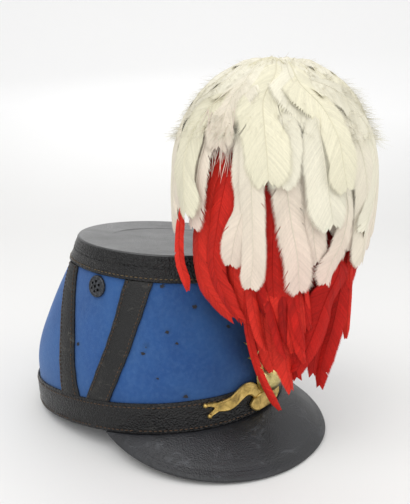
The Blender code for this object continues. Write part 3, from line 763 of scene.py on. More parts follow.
def makePeak():
    columns = 150
    ends = peak["halfAngle"] * (1 - 1e-3)
    angle = ends * np.sin(np.linspace(-math.pi / 2, math.pi / 2, columns))
    outs = np.concatenate([[0.0], np.linspace(0.02, 1.0, 56)])
    upper = np.array([peakPoint(angle, out) for out in outs])
    root = peakPoint(angle, 0.0) - flatNormal(angle) * (hat["leather"] + peak["tuck"])
    upper = np.concatenate([root[None], upper])
    # normals of the upper face
    du = np.gradient(upper, axis=1)
    dv = np.gradient(upper, axis=0)
    normal = np.cross(du, dv)
    normal /= np.linalg.norm(normal, axis=-1, keepdims=True) + 1e-12
    normal[normal[..., 2] < 0] *= -1
    # two tooled lines follow the rim, with soft waviness in the worn leather
    away = np.linalg.norm(upper - upper[-1][None], axis=-1)
    groove = np.zeros(upper.shape[:2])
    for line in peak["grooves"]:
        groove -= peak["grooveDepth"] * np.exp(-(((away - line) / peak["grooveWidth"]) ** 2))
    groove += 0.00022 * np.exp(-(((away - 0.0018) / 0.0016) ** 2))
    wave = peak["waviness"] * np.sin(angle * 13 + np.linspace(0, 5, len(upper))[:, None])
    full = np.clip((1 - (angle / peak["halfAngle"]) ** 2) * 2.2, 0, 1)[None]
    top = upper + normal * ((groove + wave) * full)[..., None]
    taper = peak["thickness"] * np.clip(full, 0.35, 1)
    bottom = upper - normal * taper[..., None]
    # a rounded rim joins the two faces
    rim = []
    outEdge = upper[-1] - upper[-2]
    outEdge /= np.linalg.norm(outEdge, axis=-1, keepdims=True) + 1e-12
    centre, up = (top[-1] + bottom[-1]) / 2, (top[-1] - bottom[-1]) / 2
    bulge = outEdge * np.linalg.norm(up, axis=-1, keepdims=True) * 0.55
    for k in range(1, 6):
        a = math.pi * k / 6
        rim.append(centre + up * math.cos(a) + bulge * math.sin(a))
    rings = np.concatenate([top, np.array(rim), bottom[::-1]])
    faces = gridFaces(len(rings), columns, closeRows=True)
    count = len(rings)
    faces.append(tuple(i * columns for i in range(count)))
    faces.append(tuple(i * columns + columns - 1 for i in reversed(range(count))))
    faces = [face[::-1] for face in faces]
    piece = meshPiece("peakLeatherPiece", rings, faces, peakLeather, sharp=55)
    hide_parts("peak")


makePeak()
print("peak made")

vent = {
    "angle": math.radians(90.3),
    "radius": 0.0076,
    "rise": 0.0022,
    "clear": 0.0007,
    "seat": 0.0004,
    "hole": 0.00098,
    "ring": 0.0035,
    # shares of the radius and of the rise, from the middle over the rim to the back
    "profile": (
        (0.0066, 1.0), (0.30, 0.985), (0.52, 0.93), (0.66, 0.80), (0.73, 0.62), (0.78, 0.56), (0.84, 0.66),
        (0.90, 0.70), (0.96, 0.56), (1.0, 0.26), (1.0, 0.0), (0.9, -0.045), (0.88, 0.2), (0.6, 0.45), (0.0066, 0.6),
    ),
}


def makeVent(name, side, node):
    angle, columns = side * vent["angle"], 56
    radius, rise, hole = vent["radius"], vent["rise"], vent["hole"]
    share = topBandShare(angle, radius + vent["clear"])
    place = Vector(skinNormal(angle, share)).to_track_quat("Z", "Y").to_matrix().to_4x4()
    place.translation = Vector(onCrown(angle, share, hat["gap"] + vent["seat"]))
    rings = np.concatenate([flatRing(out * radius, up * rise, columns) for out, up in vent["profile"]])
    blank = bpy.data.meshes.new("ventBlank")
    blank.from_pydata([tuple(p) for p in rings], [], tubeFaces(len(vent["profile"]), columns, flip=True))
    blankObject = addObject("ventBlank", blank)
    cut = bmesh.new()
    turns = [math.pi / 3 * k + 0.3 for k in range(6)]
    for x, y in [(0, 0)] + [(vent["ring"] * math.cos(a), vent["ring"] * math.sin(a)) for a in turns]:
        bmesh.ops.create_cone(
            cut, cap_ends=True, segments=18, radius1=hole, radius2=hole, depth=rise * 4,
            matrix=Matrix.Translation((x, y, 0)),
        )
    cutMesh = bpy.data.meshes.new("ventHoles")
    cut.to_mesh(cutMesh)
    cut.free()
    cutObject = addObject("ventHoles", cutMesh)
    drill = blankObject.modifiers.new("holes", "BOOLEAN")
    drill.operation = "DIFFERENCE"
    drill.solver = "EXACT"
    drill.object = cutObject
    mesh = bpy.data.meshes.new_from_object(blankObject.evaluated_get(bpy.context.evaluated_depsgraph_get()))
    bpy.data.objects.remove(blankObject)
    bpy.data.objects.remove(cutObject)
    mesh.transform(standing @ place)
    mesh.materials.clear()
    mesh.materials.append(blackedMetal)
    mesh.shade_smooth()
    mesh.set_sharp_from_angle(angle=math.radians(40))
    piece = addObject(name, mesh)
    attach(piece, "root")
    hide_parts(node)
    # painted shade behind the holes: a dark disc
    backing = flatRing(radius * 0.8, 0.0001, 24)
    meshPiece(name + "Dark", backing, [tuple(range(24))], holeShade, place=np.array(standing @ place))


makeVent("ventRight", -1, "vent_right")
makeVent("ventLeft", 1, "vent_left")
print("vents made")

badge = {
    "wall": 0.0013,
    "seat": 0.0022,
    "ball": 0.0124,
    "proud": 0.0105,
    "ballHeight": 0.0245,
    "flameLength": 0.0320,
    "flameCurl": 0.0022,
    # degrees round from the front, height and half width as shares of the lower band
    "arch": (
        (3.6, 0.50, 0.15), (5.2, 0.66, 0.19), (7.2, 0.82, 0.205), (9.4, 0.94, 0.21), (12.0, 0.98, 0.21),
        (14.6, 0.93, 0.205), (17.2, 0.83, 0.20), (19.6, 0.73, 0.20), (22.4, 0.68, 0.20), (25.4, 0.68, 0.17),
        (27.6, 0.69, 0.13), (28.8, 0.69, 0.10),
    ),
    "prongs": (
        ((27.2, 0.755, 0.085), (29.0, 0.79, 0.075), (31.0, 0.815, 0.06), (32.8, 0.82, 0.045)),
        ((27.2, 0.625, 0.085), (28.6, 0.57, 0.075), (30.0, 0.51, 0.06), (31.2, 0.455, 0.045)),
    ),
    "fold": (
        (-9.4, 0.52, 0.14), (-8.2, 0.42, 0.22), (-6.0, 0.37, 0.27), (-3.0, 0.38, 0.29), (0, 0.39, 0.30),
        (3.0, 0.38, 0.29), (6.0, 0.37, 0.27), (8.2, 0.42, 0.22), (9.4, 0.52, 0.14),
    ),
    "knob": 0.0016,
    "stud": 0.0024,
    # the shell's flames: lean in degrees and share of the length
    "outerFlames": (
        (-48, 0.52), (-38, 0.84), (-27, 0.92), (-14, 0.98), (0, 1.0), (14, 0.98), (27, 0.92), (38, 0.84), (48, 0.52),
    ),
    "innerFlames": ((-46, 0.50), (-30, 0.62), (-10, 0.70), (10, 0.68), (30, 0.60), (46, 0.50)),
    # across a flame as a share of its half width, and how far up
    "flameSection": (
        (-1, 0.0), (-0.45, 0.0009), (0, 0.0004), (0.45, 0.0009), (1, 0.0), (0.5, -0.0005), (-0.5, -0.0005),
    ),
}


def resample(table, count):
    table = np.array(table, float)
    along = np.linspace(0, len(table) - 1, count)
    columns = [smoothTable(list(zip(range(len(table)), table[:, i])), along) for i in range(table.shape[1])]
    return np.stack(columns, -1)


def ribbonMesh(table, mirror, rise, count, points, faces, swell, curl=0.0):
    rows = resample(table, count)
    height, reach = hat["bandHeight"], 0.095  # from the crown's axis to the badge
    ring = []
    for t in (-1, -0.92, -0.82, -0.70, -0.4, 0, 0.4, 0.70, 0.82, 0.92, 1):
        rim = 0.55 * math.exp(-(((abs(t) - 0.82) / 0.12) ** 2))
        ring.append((t, badge["wall"] + swell * (0.25 * (1 - t**2) + rim) - 0.00015 * (abs(t) > 0.99)))
    for t in (1, 0.5, 0, -0.5, -1):
        ring.append((t * 0.985, 0.0))
    start = len(points)
    for i, (degrees, middle, half) in enumerate(rows):
        angle = math.radians(degrees) * mirror
        # across the ribbon, square to its course
        before, after = rows[max(i - 1, 0)], rows[min(i + 1, count - 1)]
        run = math.radians(after[0] - before[0]) * reach * mirror
        climb = (after[1] - before[1]) * height
        size = math.hypot(run, climb) + 1e-9
        across = (-climb / size, run / size) if run > 0 else (climb / size, -run / size)
        lift = rise + curl * math.sin(math.pi * i / (count - 1))
        for t, proud in ring:
            dx = across[0] * half * height * t
            dz = across[1] * half * height * t
            at = angle + dx / reach
            share = shareAt(at, middle * height + dz)
            points.append(onCrown(at, share, badge["seat"] + lift + proud))
    size = len(ring)
    flip = mirror < 0
    faces += gridFaces(count, size, closeColumns=True, start=start, flip=not flip)
    first = tuple(start + k for k in range(size))
    last = tuple(start + (count - 1) * size + k for k in range(size))
    faces.append(first if flip else first[::-1])
    faces.append(last[::-1] if flip else last)


def addBall(centre, radius, points, faces, columns=14, rows=10):
    faces += tubeFaces(rows, columns, len(points), flip=True)
    for i in range(rows):
        polar = math.pi * (i + 0.02) / (rows - 0.96)
        points += list(centre + flatRing(radius * math.sin(polar), radius * math.cos(polar), columns))


def makeScroll():
    points, faces = [], []
    ribbonMesh(badge["fold"], 1, 0.0006, 34, points, faces, 0.0008)
    for mirror in (-1, 1):
        ribbonMesh(badge["arch"], mirror, 0.0, 54, points, faces, 0.0007, curl=0.0004)
        for prong in badge["prongs"]:
            ribbonMesh(prong, mirror, 0.0001, 14, points, faces, 0.0005)
            degrees, height, _ = prong[-1]
            angle = math.radians(degrees) * mirror
            share = shareAt(angle, height * hat["bandHeight"])
            centre = onCrown(angle, share, badge["seat"] + badge["knob"])
            addBall(centre, badge["knob"], points, faces)
    piece = meshPiece("badgeScroll", points, faces, scrollBrass, sharp=45)
    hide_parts("badge_scroll")


def makeShell():
    share = shareAt(0.0, badge["ballHeight"])
    place = Vector(skinNormal(0.0, share)).to_track_quat("Z", "Y").to_matrix().to_4x4()
    seat = badge["seat"] + 0.0006 + badge["wall"] + 0.0003
    place.translation = Vector(onCrown(0.0, share, seat))
    ball, columns = badge["ball"], 56
    rings = []
    for k in range(17):
        a = math.radians(2 + 88 * k / 16)
        rings.append((ball * math.sin(a), badge["proud"] * math.cos(a)))
    rings += [(ball * 0.985, -0.0001), (0.0002, -0.0001)]
    points = [point for radius, height in rings for point in flatRing(radius, height, columns)]
    faces = tubeFaces(len(rings), columns, flip=True)
    # a plain stud holds it to the crown, without a lid inside the shell
    studColumns = 16
    tube = tubeFaces(2, studColumns, len(points), flip=True)
    faces += tube[:studColumns] + tube[studColumns + 1 :]
    points += [point for height in (0.002, 0.0003 - seat) for point in flatRing(badge["stud"], height, studColumns)]
    # the burst: two rows of curling flames
    rng = random.Random(3)
    stations, section = 18, badge["flameSection"]
    flames = [(*flame, 0.0031, 0.0010) for flame in badge["outerFlames"]]  # half width and lift
    flames += [(*flame, 0.0028, 0.0021) for flame in badge["innerFlames"]]
    for lean, length, half, lift in flames:
        turn = math.radians(-lean)
        reach, tip = ball * 0.74, ball + badge["flameLength"] * length
        curl = badge["flameCurl"] * (1 if lean >= 0 else -1) * rng.uniform(0.5, 1.1)
        faces += tubeFaces(stations, len(section), len(points))
        for i in range(stations):
            t = i / (stations - 1)
            wide = half * (0.62 + 0.75 * math.sin(math.pi * min(t * 1.15, 1))) * (1 - t**2.6) + 0.00012
            x, y = curl * math.sin(2.4 * math.pi * t) * t, reach + (tip - reach) * t
            z = lift * (1 - t) + 0.0006 * math.sin(math.pi * t)
            for across, up in section:
                px = x + across * wide
                points.append(np.array([
                    px * math.cos(turn) - y * math.sin(turn), px * math.sin(turn) + y * math.cos(turn),
                    z + up * (0.4 + 0.6 * (1 - t)) + 0.0008,
                ]))
    whole = np.array(standing @ place)
    piece = meshPiece("badgeShell", points, faces, shellBrass, sharp=50, place=whole)
    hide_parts("badge_grenade")


makeScroll()
makeShell()
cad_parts["plume_post"].data.materials[0] = scrollBrass
print("badge made")

plume = {
    "axis": (0.0, -0.065729),
    "seed": 20,
    "ivory": (0.70, 0.67, 0.565),
    "cream": (0.685, 0.65, 0.485),
    "pink": (0.69, 0.51, 0.445),
    "scarlet": (0.48, 0.011, 0.007),
    "deep": (0.16, 0.003, 0.003),
    "coral": (0.68, 0.034, 0.020),
    "vanes": (0.0, 0.34, 0.68, 0.88),  # where a barb is drawn, as shares of its length, before its tip
    # under feathers: depth in the dome mm, how many, how much shorter mm
    "whiteUnder": ((13, 20, 4), (8.5, 24, 6), (4.5, 28, 0)),
    # radius mm, how many, how dark (painted shade, darker deeper in), height of the root mm
    "redUnder": ((33, 14, 0.8, 202), (39, 17, 0.6, 207), (45, 20, 0.4, 212.5)),
    # short ones over the top: how many, share of the way down at the root, height of the tip mm, depth mm
    "tufts": ((20, 0.06, 208, 1.5), (18, 0.03, 219, 0.8), (15, 0.0, 230, 0.2), (11, 0.0, 240, -0.5)),
    "looseReds": 34,
    "backFeathers": 17,
    "down": 1700,
    # height and radius of the white dome, mm
    "dome": ((100, 60), (134, 64), (160, 67), (192, 67), (211, 63), (225, 56.5), (231, 53), (240, 48.5), (247, 39),
             (252, 30), (257, 20), (257.5, 6)),
    # degrees round from the front, and how low the under feathers hang there, mm
    "underTips": ((-180, 160), (-130, 164), (-112, 172), (-106, 224), (-76, 224), (-70, 176), (-68, 176), (-64, 190),
                  (-56, 190), (-50, 164), (-42, 152), (-20, 148), (10, 150), (60, 146), (120, 152), (180, 160)),
    "redTurn": {"rightThin": 0.5, "rightTail": 0.7, "rightInner": 0.4, "leftThin": -0.8},  # radians off the dome
    "redTips": ((-180, 152), (-123, 150), (-97, 126), (-73, 104), (-49, 96), (-38, 112), (8, 114), (29, 72), (57, 72),
                (83, 84), (109, 112), (137, 150), (180, 152)),
    # feathers read from the photograph: width mm, pink, then degrees round from the front, height mm, radius mm
    "white": {
        "rightInner": (13, 0.50, (
            (-40, 226, 52), (-22, 204, 60), (-13, 182, 62), (-8, 161, 63), (-9, 145, 61),
        )),
        "lowRight": (19, 0.60, (
            (-49, 233, 49), (-47, 214, 57), (-44, 193, 63), (-40, 171, 63), (-37, 154, 63), (-33, 139, 61),
        )),
        "rightSpray": (14, 0.85, (
            (-35, 217, 57), (-28, 196, 64), (-19, 174, 65), (-21, 154, 65), (-27, 138, 63), (-29, 127, 63),
        )),
        "leftInner": (16, 0.70, (
            (-83, 235, 48), (-98, 220, 55), (-101, 199, 62), (-103, 179, 64), (-105, 155, 64),
        )),
        "leftEdge": (19, 0.35, (
            (-97, 240, 49), (-131, 226, 56), (-131, 202, 65), (-129, 176, 66), (-124, 163, 67), (-116, 152, 66),
        )),
        "farRight": (23, 0.25, (
            (-42, 243, 43), (-22, 233, 51), (-12, 212, 61), (-7, 190, 66), (-3, 167, 66), (-1, 135, 64),
        )),
        "rightEdge": (22, 0.00, (
            (-43, 244, 43), (-19, 236, 51), (-1, 220, 59), (6, 199, 65), (3, 179, 67), (-7, 155, 67),
        )),
        "frontPink": (18, 0.80, (
            (-54, 231, 51), (-53, 208, 62), (-53, 188, 66), (-50, 166, 65), (-46, 146, 65), (-43, 123, 63),
        )),
        "longLeft": (16, 0.55, (
            (-66, 235, 52), (-71, 220, 59), (-73, 197, 65), (-72, 176, 66), (-76, 156, 67), (-79, 137, 65),
        )),
        "longNext": (15, 0.50, (
            (-65, 234, 53), (-69, 216, 63), (-69, 192, 69), (-68, 168, 68), (-67, 146, 68), (-68, 125, 66),
        )),
        "wedgeTop": (24, 0.40, (
            (-80, 240, 50), (-86, 228, 57), (-88, 216, 61), (-89, 207, 62), (-89, 201, 61),
        )),
        "leftYellow": (25, 0.00, (
            (-84, 237, 51), (-102, 224, 58), (-109, 202, 66), (-108, 179, 68), (-106, 162, 68),
        )),
        "broadRight": (26, 0.00, (
            (-50, 240, 51), (-40, 225, 59), (-37, 204, 67), (-34, 183, 69), (-30, 160, 70),
        )),
        "shortRight": (20, 0.00, (
            (-46, 238, 54), (-35, 226, 60), (-30, 209, 69), (-28, 193, 72), (-25, 181, 72),
        )),
        "bulbRight": (20, 0.00, (
            (-56, 243, 46), (-57, 227, 58), (-55, 211, 65), (-55, 196, 69), (-56, 182, 70),
        )),
        "bulb": (27, 0.00, ((-61, 243, 47), (-66, 230, 58), (-64, 213, 66), (-62, 198, 70), (-61, 183, 72))),
    },
    "red": {
        "middle": (19, ((-59, 187, 58), (-58, 158, 61), (-57, 131, 58), (-53, 105, 52), (-45, 80, 47))),
        "rightInner": (14, ((-20, 149, 53), (-18, 128, 55), (-18, 107, 52), (-19, 85, 48), (-18, 60, 45))),
        "midRight": (16, ((-40, 141, 53), (-41, 117, 52), (-40, 90, 47), (-34, 69, 44), (-29, 58, 44))),
        "leftThird": (17, ((-75, 181, 56), (-81, 154, 57), (-81, 130, 55), (-79, 111, 51), (-74, 94, 46))),
        "leftSecond": (17, (
            (-85, 214, 46), (-86, 186, 58), (-89, 160, 61), (-92, 136, 59), (-85, 115, 55), (-74, 98, 50),
        )),
        "leftSweep": (17, (
            (-91, 221, 44), (-93, 202, 54), (-100, 176, 58), (-107, 149, 58), (-106, 126, 56), (-95, 111, 52),
            (-78, 98, 48),
        )),
        "midShort": (19, ((-62, 152, 51), (-64, 125, 52), (-62, 106, 49), (-58, 86, 46), (-51, 68, 45))),
        "midTail": (15, ((-51, 153, 54), (-52, 124, 56), (-48, 98, 51), (-43, 74, 46), (-35, 51, 44))),
        "longTail": (6, (
            (-69, 135, 56), (-73, 109, 51), (-72, 89, 45), (-64, 67, 41), (-52, 50, 41), (-42, 40, 40),
        )),
        "rightTail": (14, ((-3, 146, 56), (-10, 121, 57), (-9, 98, 53), (-12, 73, 49), (-11, 51, 47))),
        "rightSweep": (18, ((-16, 139, 59), (-23, 117, 57), (-27, 94, 52), (-32, 76, 48), (-38, 63, 46))),
        "rightThin": (5, ((-3, 151, 57), (-6, 130, 60), (-1, 110, 58), (8, 84, 55))),
        "leftThin": (6, ((-116, 169, 65), (-113, 151, 68), (-109, 137, 70), (-106, 125, 68), (-107, 116, 65))),
    },
}


def plumePoint(degrees, height, radius):
    a = math.radians(degrees)
    x, y = plume["axis"]
    return np.array([x + radius * 0.001 * math.sin(a), y - radius * 0.001 * math.cos(a), height * 0.001])


def tipHeight(table, degrees):
    return float(np.interp((degrees + 180) % 360 - 180, *zip(*plume[table])))


def mixed(a, b, share):
    return a * (1 - share) + b * share


def smoothPath(points, count):
    # a smooth curve through the points, evenly spaced along its length
    points = np.asarray(points, float)
    knots = np.concatenate([[0], np.cumsum(np.linalg.norm(np.diff(points, axis=0), axis=1))])
    dense = np.linspace(0, knots[-1], 160)
    curve = np.stack([smoothTable(list(zip(knots, points[:, i])), dense) for i in range(3)], -1)
    length = np.concatenate([[0], np.cumsum(np.linalg.norm(np.diff(curve, axis=0), axis=1))])
    even = np.linspace(0, length[-1], count)
    return np.stack([np.interp(even, length, curve[:, i]) for i in range(3)], -1), length[-1]


class FeatherPile:
    # gathers many feathers into one mesh
    def __init__(self):
        self.points, self.uv, self.tint, self.faces = [], [], [], []
        self.count = 0

    def add(self, points, uv, tint, faces):
        self.points.append(points)
        self.uv.append(uv)
        self.tint.append(tint)
        self.faces += [tuple(i + self.count for i in face) for face in faces]
        self.count += len(points)

    def build(self, name, material):
        return meshPiece(
            name, np.concatenate(self.points), self.faces, material,
            uv=np.concatenate(self.uv), tint=np.concatenate(self.tint), smooth=False, place=np.eye(4),
        )


def addFeather(pile, path, width, rng, colour, tipColour, tipStart, barb, ragged, cup,
               outline="round", roll=0.0, twist=0.0, fluff=0.0, lift=0.0, gaps=0.10, relief=1.0):
    # a shaft with two vanes: barbs lie side by side in clumps, and the clumps part here and there
    isRound, samples = outline == "round", 400
    overhang = width * (0.20 if isRound else 0.55)
    whole, span = smoothPath(path, samples)
    length, total = span - overhang * 0.8, span + overhang * 0.4
    count = max(int(length / barb), 24)
    reached = np.linspace(0, (samples - 1) * length / span, count)
    curve = np.stack([np.interp(reached, np.arange(samples), whole[:, i]) for i in range(3)], -1)
    tangent = np.gradient(curve, axis=0)
    tangent /= np.linalg.norm(tangent, axis=1, keepdims=True)
    outward = curve - np.array([*plume["axis"], 0])
    outward[:, 2] = np.clip((curve[:, 2] - 0.205) * 1.3, 0, 1)
    outward -= tangent * np.sum(outward * tangent, axis=1, keepdims=True)
    outward /= np.linalg.norm(outward, axis=1, keepdims=True) + 1e-9
    side = np.cross(tangent, outward)
    turn = twist + roll * np.linspace(-0.3, 1, count)[:, None]
    outward, side = outward * np.cos(turn) + side * np.sin(turn), side * np.cos(turn) - outward * np.sin(turn)
    draw = np.random.default_rng(rng.randrange(1 << 30))
    along = np.linspace(0, length, count)
    opening = np.radians(np.linspace(60, 40, count))
    sweep = 1 / np.tan(opening) + 0.35
    taper = width * (0.62 if isRound else 1.9)

    def vaneWidth(place):
        start = np.clip(0.32 + 0.68 * place / (0.20 * total), 0, 1)
        end = np.clip((total - place) / taper, 0, 1)
        end = np.sqrt(1 - (1 - end) ** 2) if isRound else end**0.75
        return width / 2 * start * end

    half = vaneWidth(along)
    for _ in range(14):
        half = 0.5 * half + 0.5 * vaneWidth(along + half * sweep)
    base, tip = np.array(colour), np.array(tipColour)
    blend = np.clip((along / length - tipStart) / (1.0001 - tipStart), 0, 1)[:, None, None]
    levels = np.array(plume["vanes"])
    levels[-1] -= 0.25 * min(fluff, 1)
    soft = np.array([0.08, 0.12, 0.16, 0.28, 0.16, 0.12, 0.08])
    for sign in (-1, 1):
        # clumps of barbs, each with its own lean and rise
        lean, risen, clump = np.zeros(count), np.zeros(count), np.zeros(count, int)
        k = number = 0
        while k < count:
            size = int(draw.integers(8, 44) / (0.4 + ragged))
            lean[k : k + size] = draw.normal(0, 0.07 * ragged)
            risen[k : k + size] = draw.normal(0, 0.00022 + 0.0006 * fluff)
            clump[k : k + size] = number
            number += 1
            k += max(size, 3)
        lean = np.convolve(np.pad(lean, 3, "edge"), soft, "valid")
        risen = np.convolve(np.pad(risen, 3, "edge"), soft, "valid")
        opened = draw.random(number + 1) < gaps
        lean += draw.normal(0, 0.012 * (ragged + fluff), count)
        reach = half * (1 + draw.normal(0, 0.015 + 0.05 * fluff, count))

        def place(level, far=1.0):
            wide = (reach * far)[:, None, None] * level
            ahead = wide * (1 / np.tan(opening) + lean)[:, None, None] + wide * level * 0.35
            rise = lift - cup * wide * level + risen[:, None, None] * level
            across = sign * side[:, None] * wide
            return curve[:, None] + tangent[:, None] * ahead + across + outward[:, None] * rise

        body = place(levels[None, :, None])
        tooth = place(np.ones((1, 1, 1)), 1 + (0.03 + 0.25 * fluff) * draw.random(count))
        tooth += (draw.normal(0, 1, (count, 1, 1)) * outward[:, None] * 0.0016) * fluff
        points = np.concatenate([body, tooth], 1)
        shares = np.append(levels, 1.0)[None, :]
        uneven = draw.normal(0, 0.035, (count, 1, 1)) + 0.035 * np.sin(clump * 2.4)[:, None, None]
        # relief above one paints light and shade across each vane: lighter towards its edge, darker towards the shaft.
        # The barbs' roots are a little darker.
        tone = (1 + relief * uneven) * (1 + 0.05 * (relief - 1) * (shares[..., None] - 0.4))
        tints = (base * (1 - blend) + tip * blend) * tone
        tints[:, 0] *= 0.97
        runs = (along / 0.13)[:, None] + (0.5 if sign > 0 else 0.0)
        uvs = np.stack(np.broadcast_arrays(shares, runs), -1)
        faces = []
        for i in range(count - 1):
            together = clump[i] == clump[i + 1] or not opened[clump[i]]
            for j in range(3 if together else 2):
                a, b = i * 5 + j, (i + 1) * 5 + j
                faces.append((a, b, b + 1, a + 1))
            if together:
                faces.append((i * 5 + 3, (i + 1) * 5 + 3, i * 5 + 4))
        if sign < 0:
            faces = [face[::-1] for face in faces]
        pile.add(points.reshape(-1, 3), uvs.reshape(-1, 2), np.clip(tints.reshape(-1, 3), 0, 1), faces)
    # the shaft
    picks = list(range(0, count, 5)) + [count - 1]
    thick = np.interp(np.linspace(0, 1, count), (0, 0.7, 1), (0.00045, 0.00026, 0.00008)) * (width / 0.018) ** 0.5
    rows = []
    for i in picks:
        for a in (0.0, 2.094, 4.189):
            out = lift + math.cos(a) * thick[i] + 0.0001
            rows.append(curve[i] + outward[i] * out + side[i] * math.sin(a) * thick[i])
    tints = np.tile(np.clip(base * 1.03, 0, 1), (len(rows), 1))
    faces = gridFaces(len(picks), 3, closeColumns=True, flip=True)
    pile.add(np.array(rows), np.full((len(rows), 2), 0.5), tints, faces)


def addWisps(pile, root, direction, facing, count, length, rng, colour, spread, droop, wide):
    # loose downy barbs that spring from one place
    direction = np.array(direction, float)
    direction /= np.linalg.norm(direction)
    steps = 4
    faces = [(2 * q, 2 * q + 1, 2 * q + 3, 2 * q + 2) for q in range(steps)]
    for _ in range(count):
        way = direction + np.array([rng.gauss(0, spread) for _ in range(3)])
        way /= np.linalg.norm(way)
        reach = length * rng.uniform(0.55, 1.15)
        flat = np.cross(way, facing)
        flat /= np.linalg.norm(flat) + 1e-9
        curl = np.array([rng.gauss(0, 0.18) for _ in range(3)])
        tone = np.clip(np.array(colour) * rng.uniform(0.95, 1.04), 0, 1)
        rows, uvs = [], []
        for q in range(steps + 1):
            u = q / steps
            centre = root + way * reach * u + (curl - np.array([0, 0, droop])) * reach * u * u * 0.5
            half = wide * (1 - u) ** 0.7 + 0.00003
            rows += [centre - flat * half, centre + flat * half]
            uvs += [(u, 0.2), (u, 0.22)]
        pile.add(np.array(rows), np.array(uvs), np.tile(tone, (len(rows), 1)), faces)


def domeRadius(height):
    return float(np.interp(height, *zip(*plume["dome"])))


def domePath(degrees, start, tip, inset, sway, rng, tuck=0.0):
    # over the dome of the plume and down its outside, from one height to another
    wobble = rng.uniform(-4, 4)
    path = []
    crest = plume["dome"][-1][0]
    top = crest - inset * 0.8
    for share in (0.0, 0.05, 0.12, 0.22, 0.36, 0.54, 0.76, 1.0):
        down, tucked = start + (1 - start) * share, tuck * share**3
        height = top - (top - tip) * down**1.25
        radius = max(domeRadius(min(height + inset * 0.8, crest - 0.1)) - inset - tucked, 1.5)
        path.append(plumePoint(degrees + wobble * down + sway * down**2, height - 0.5 * tucked, radius))
    return path


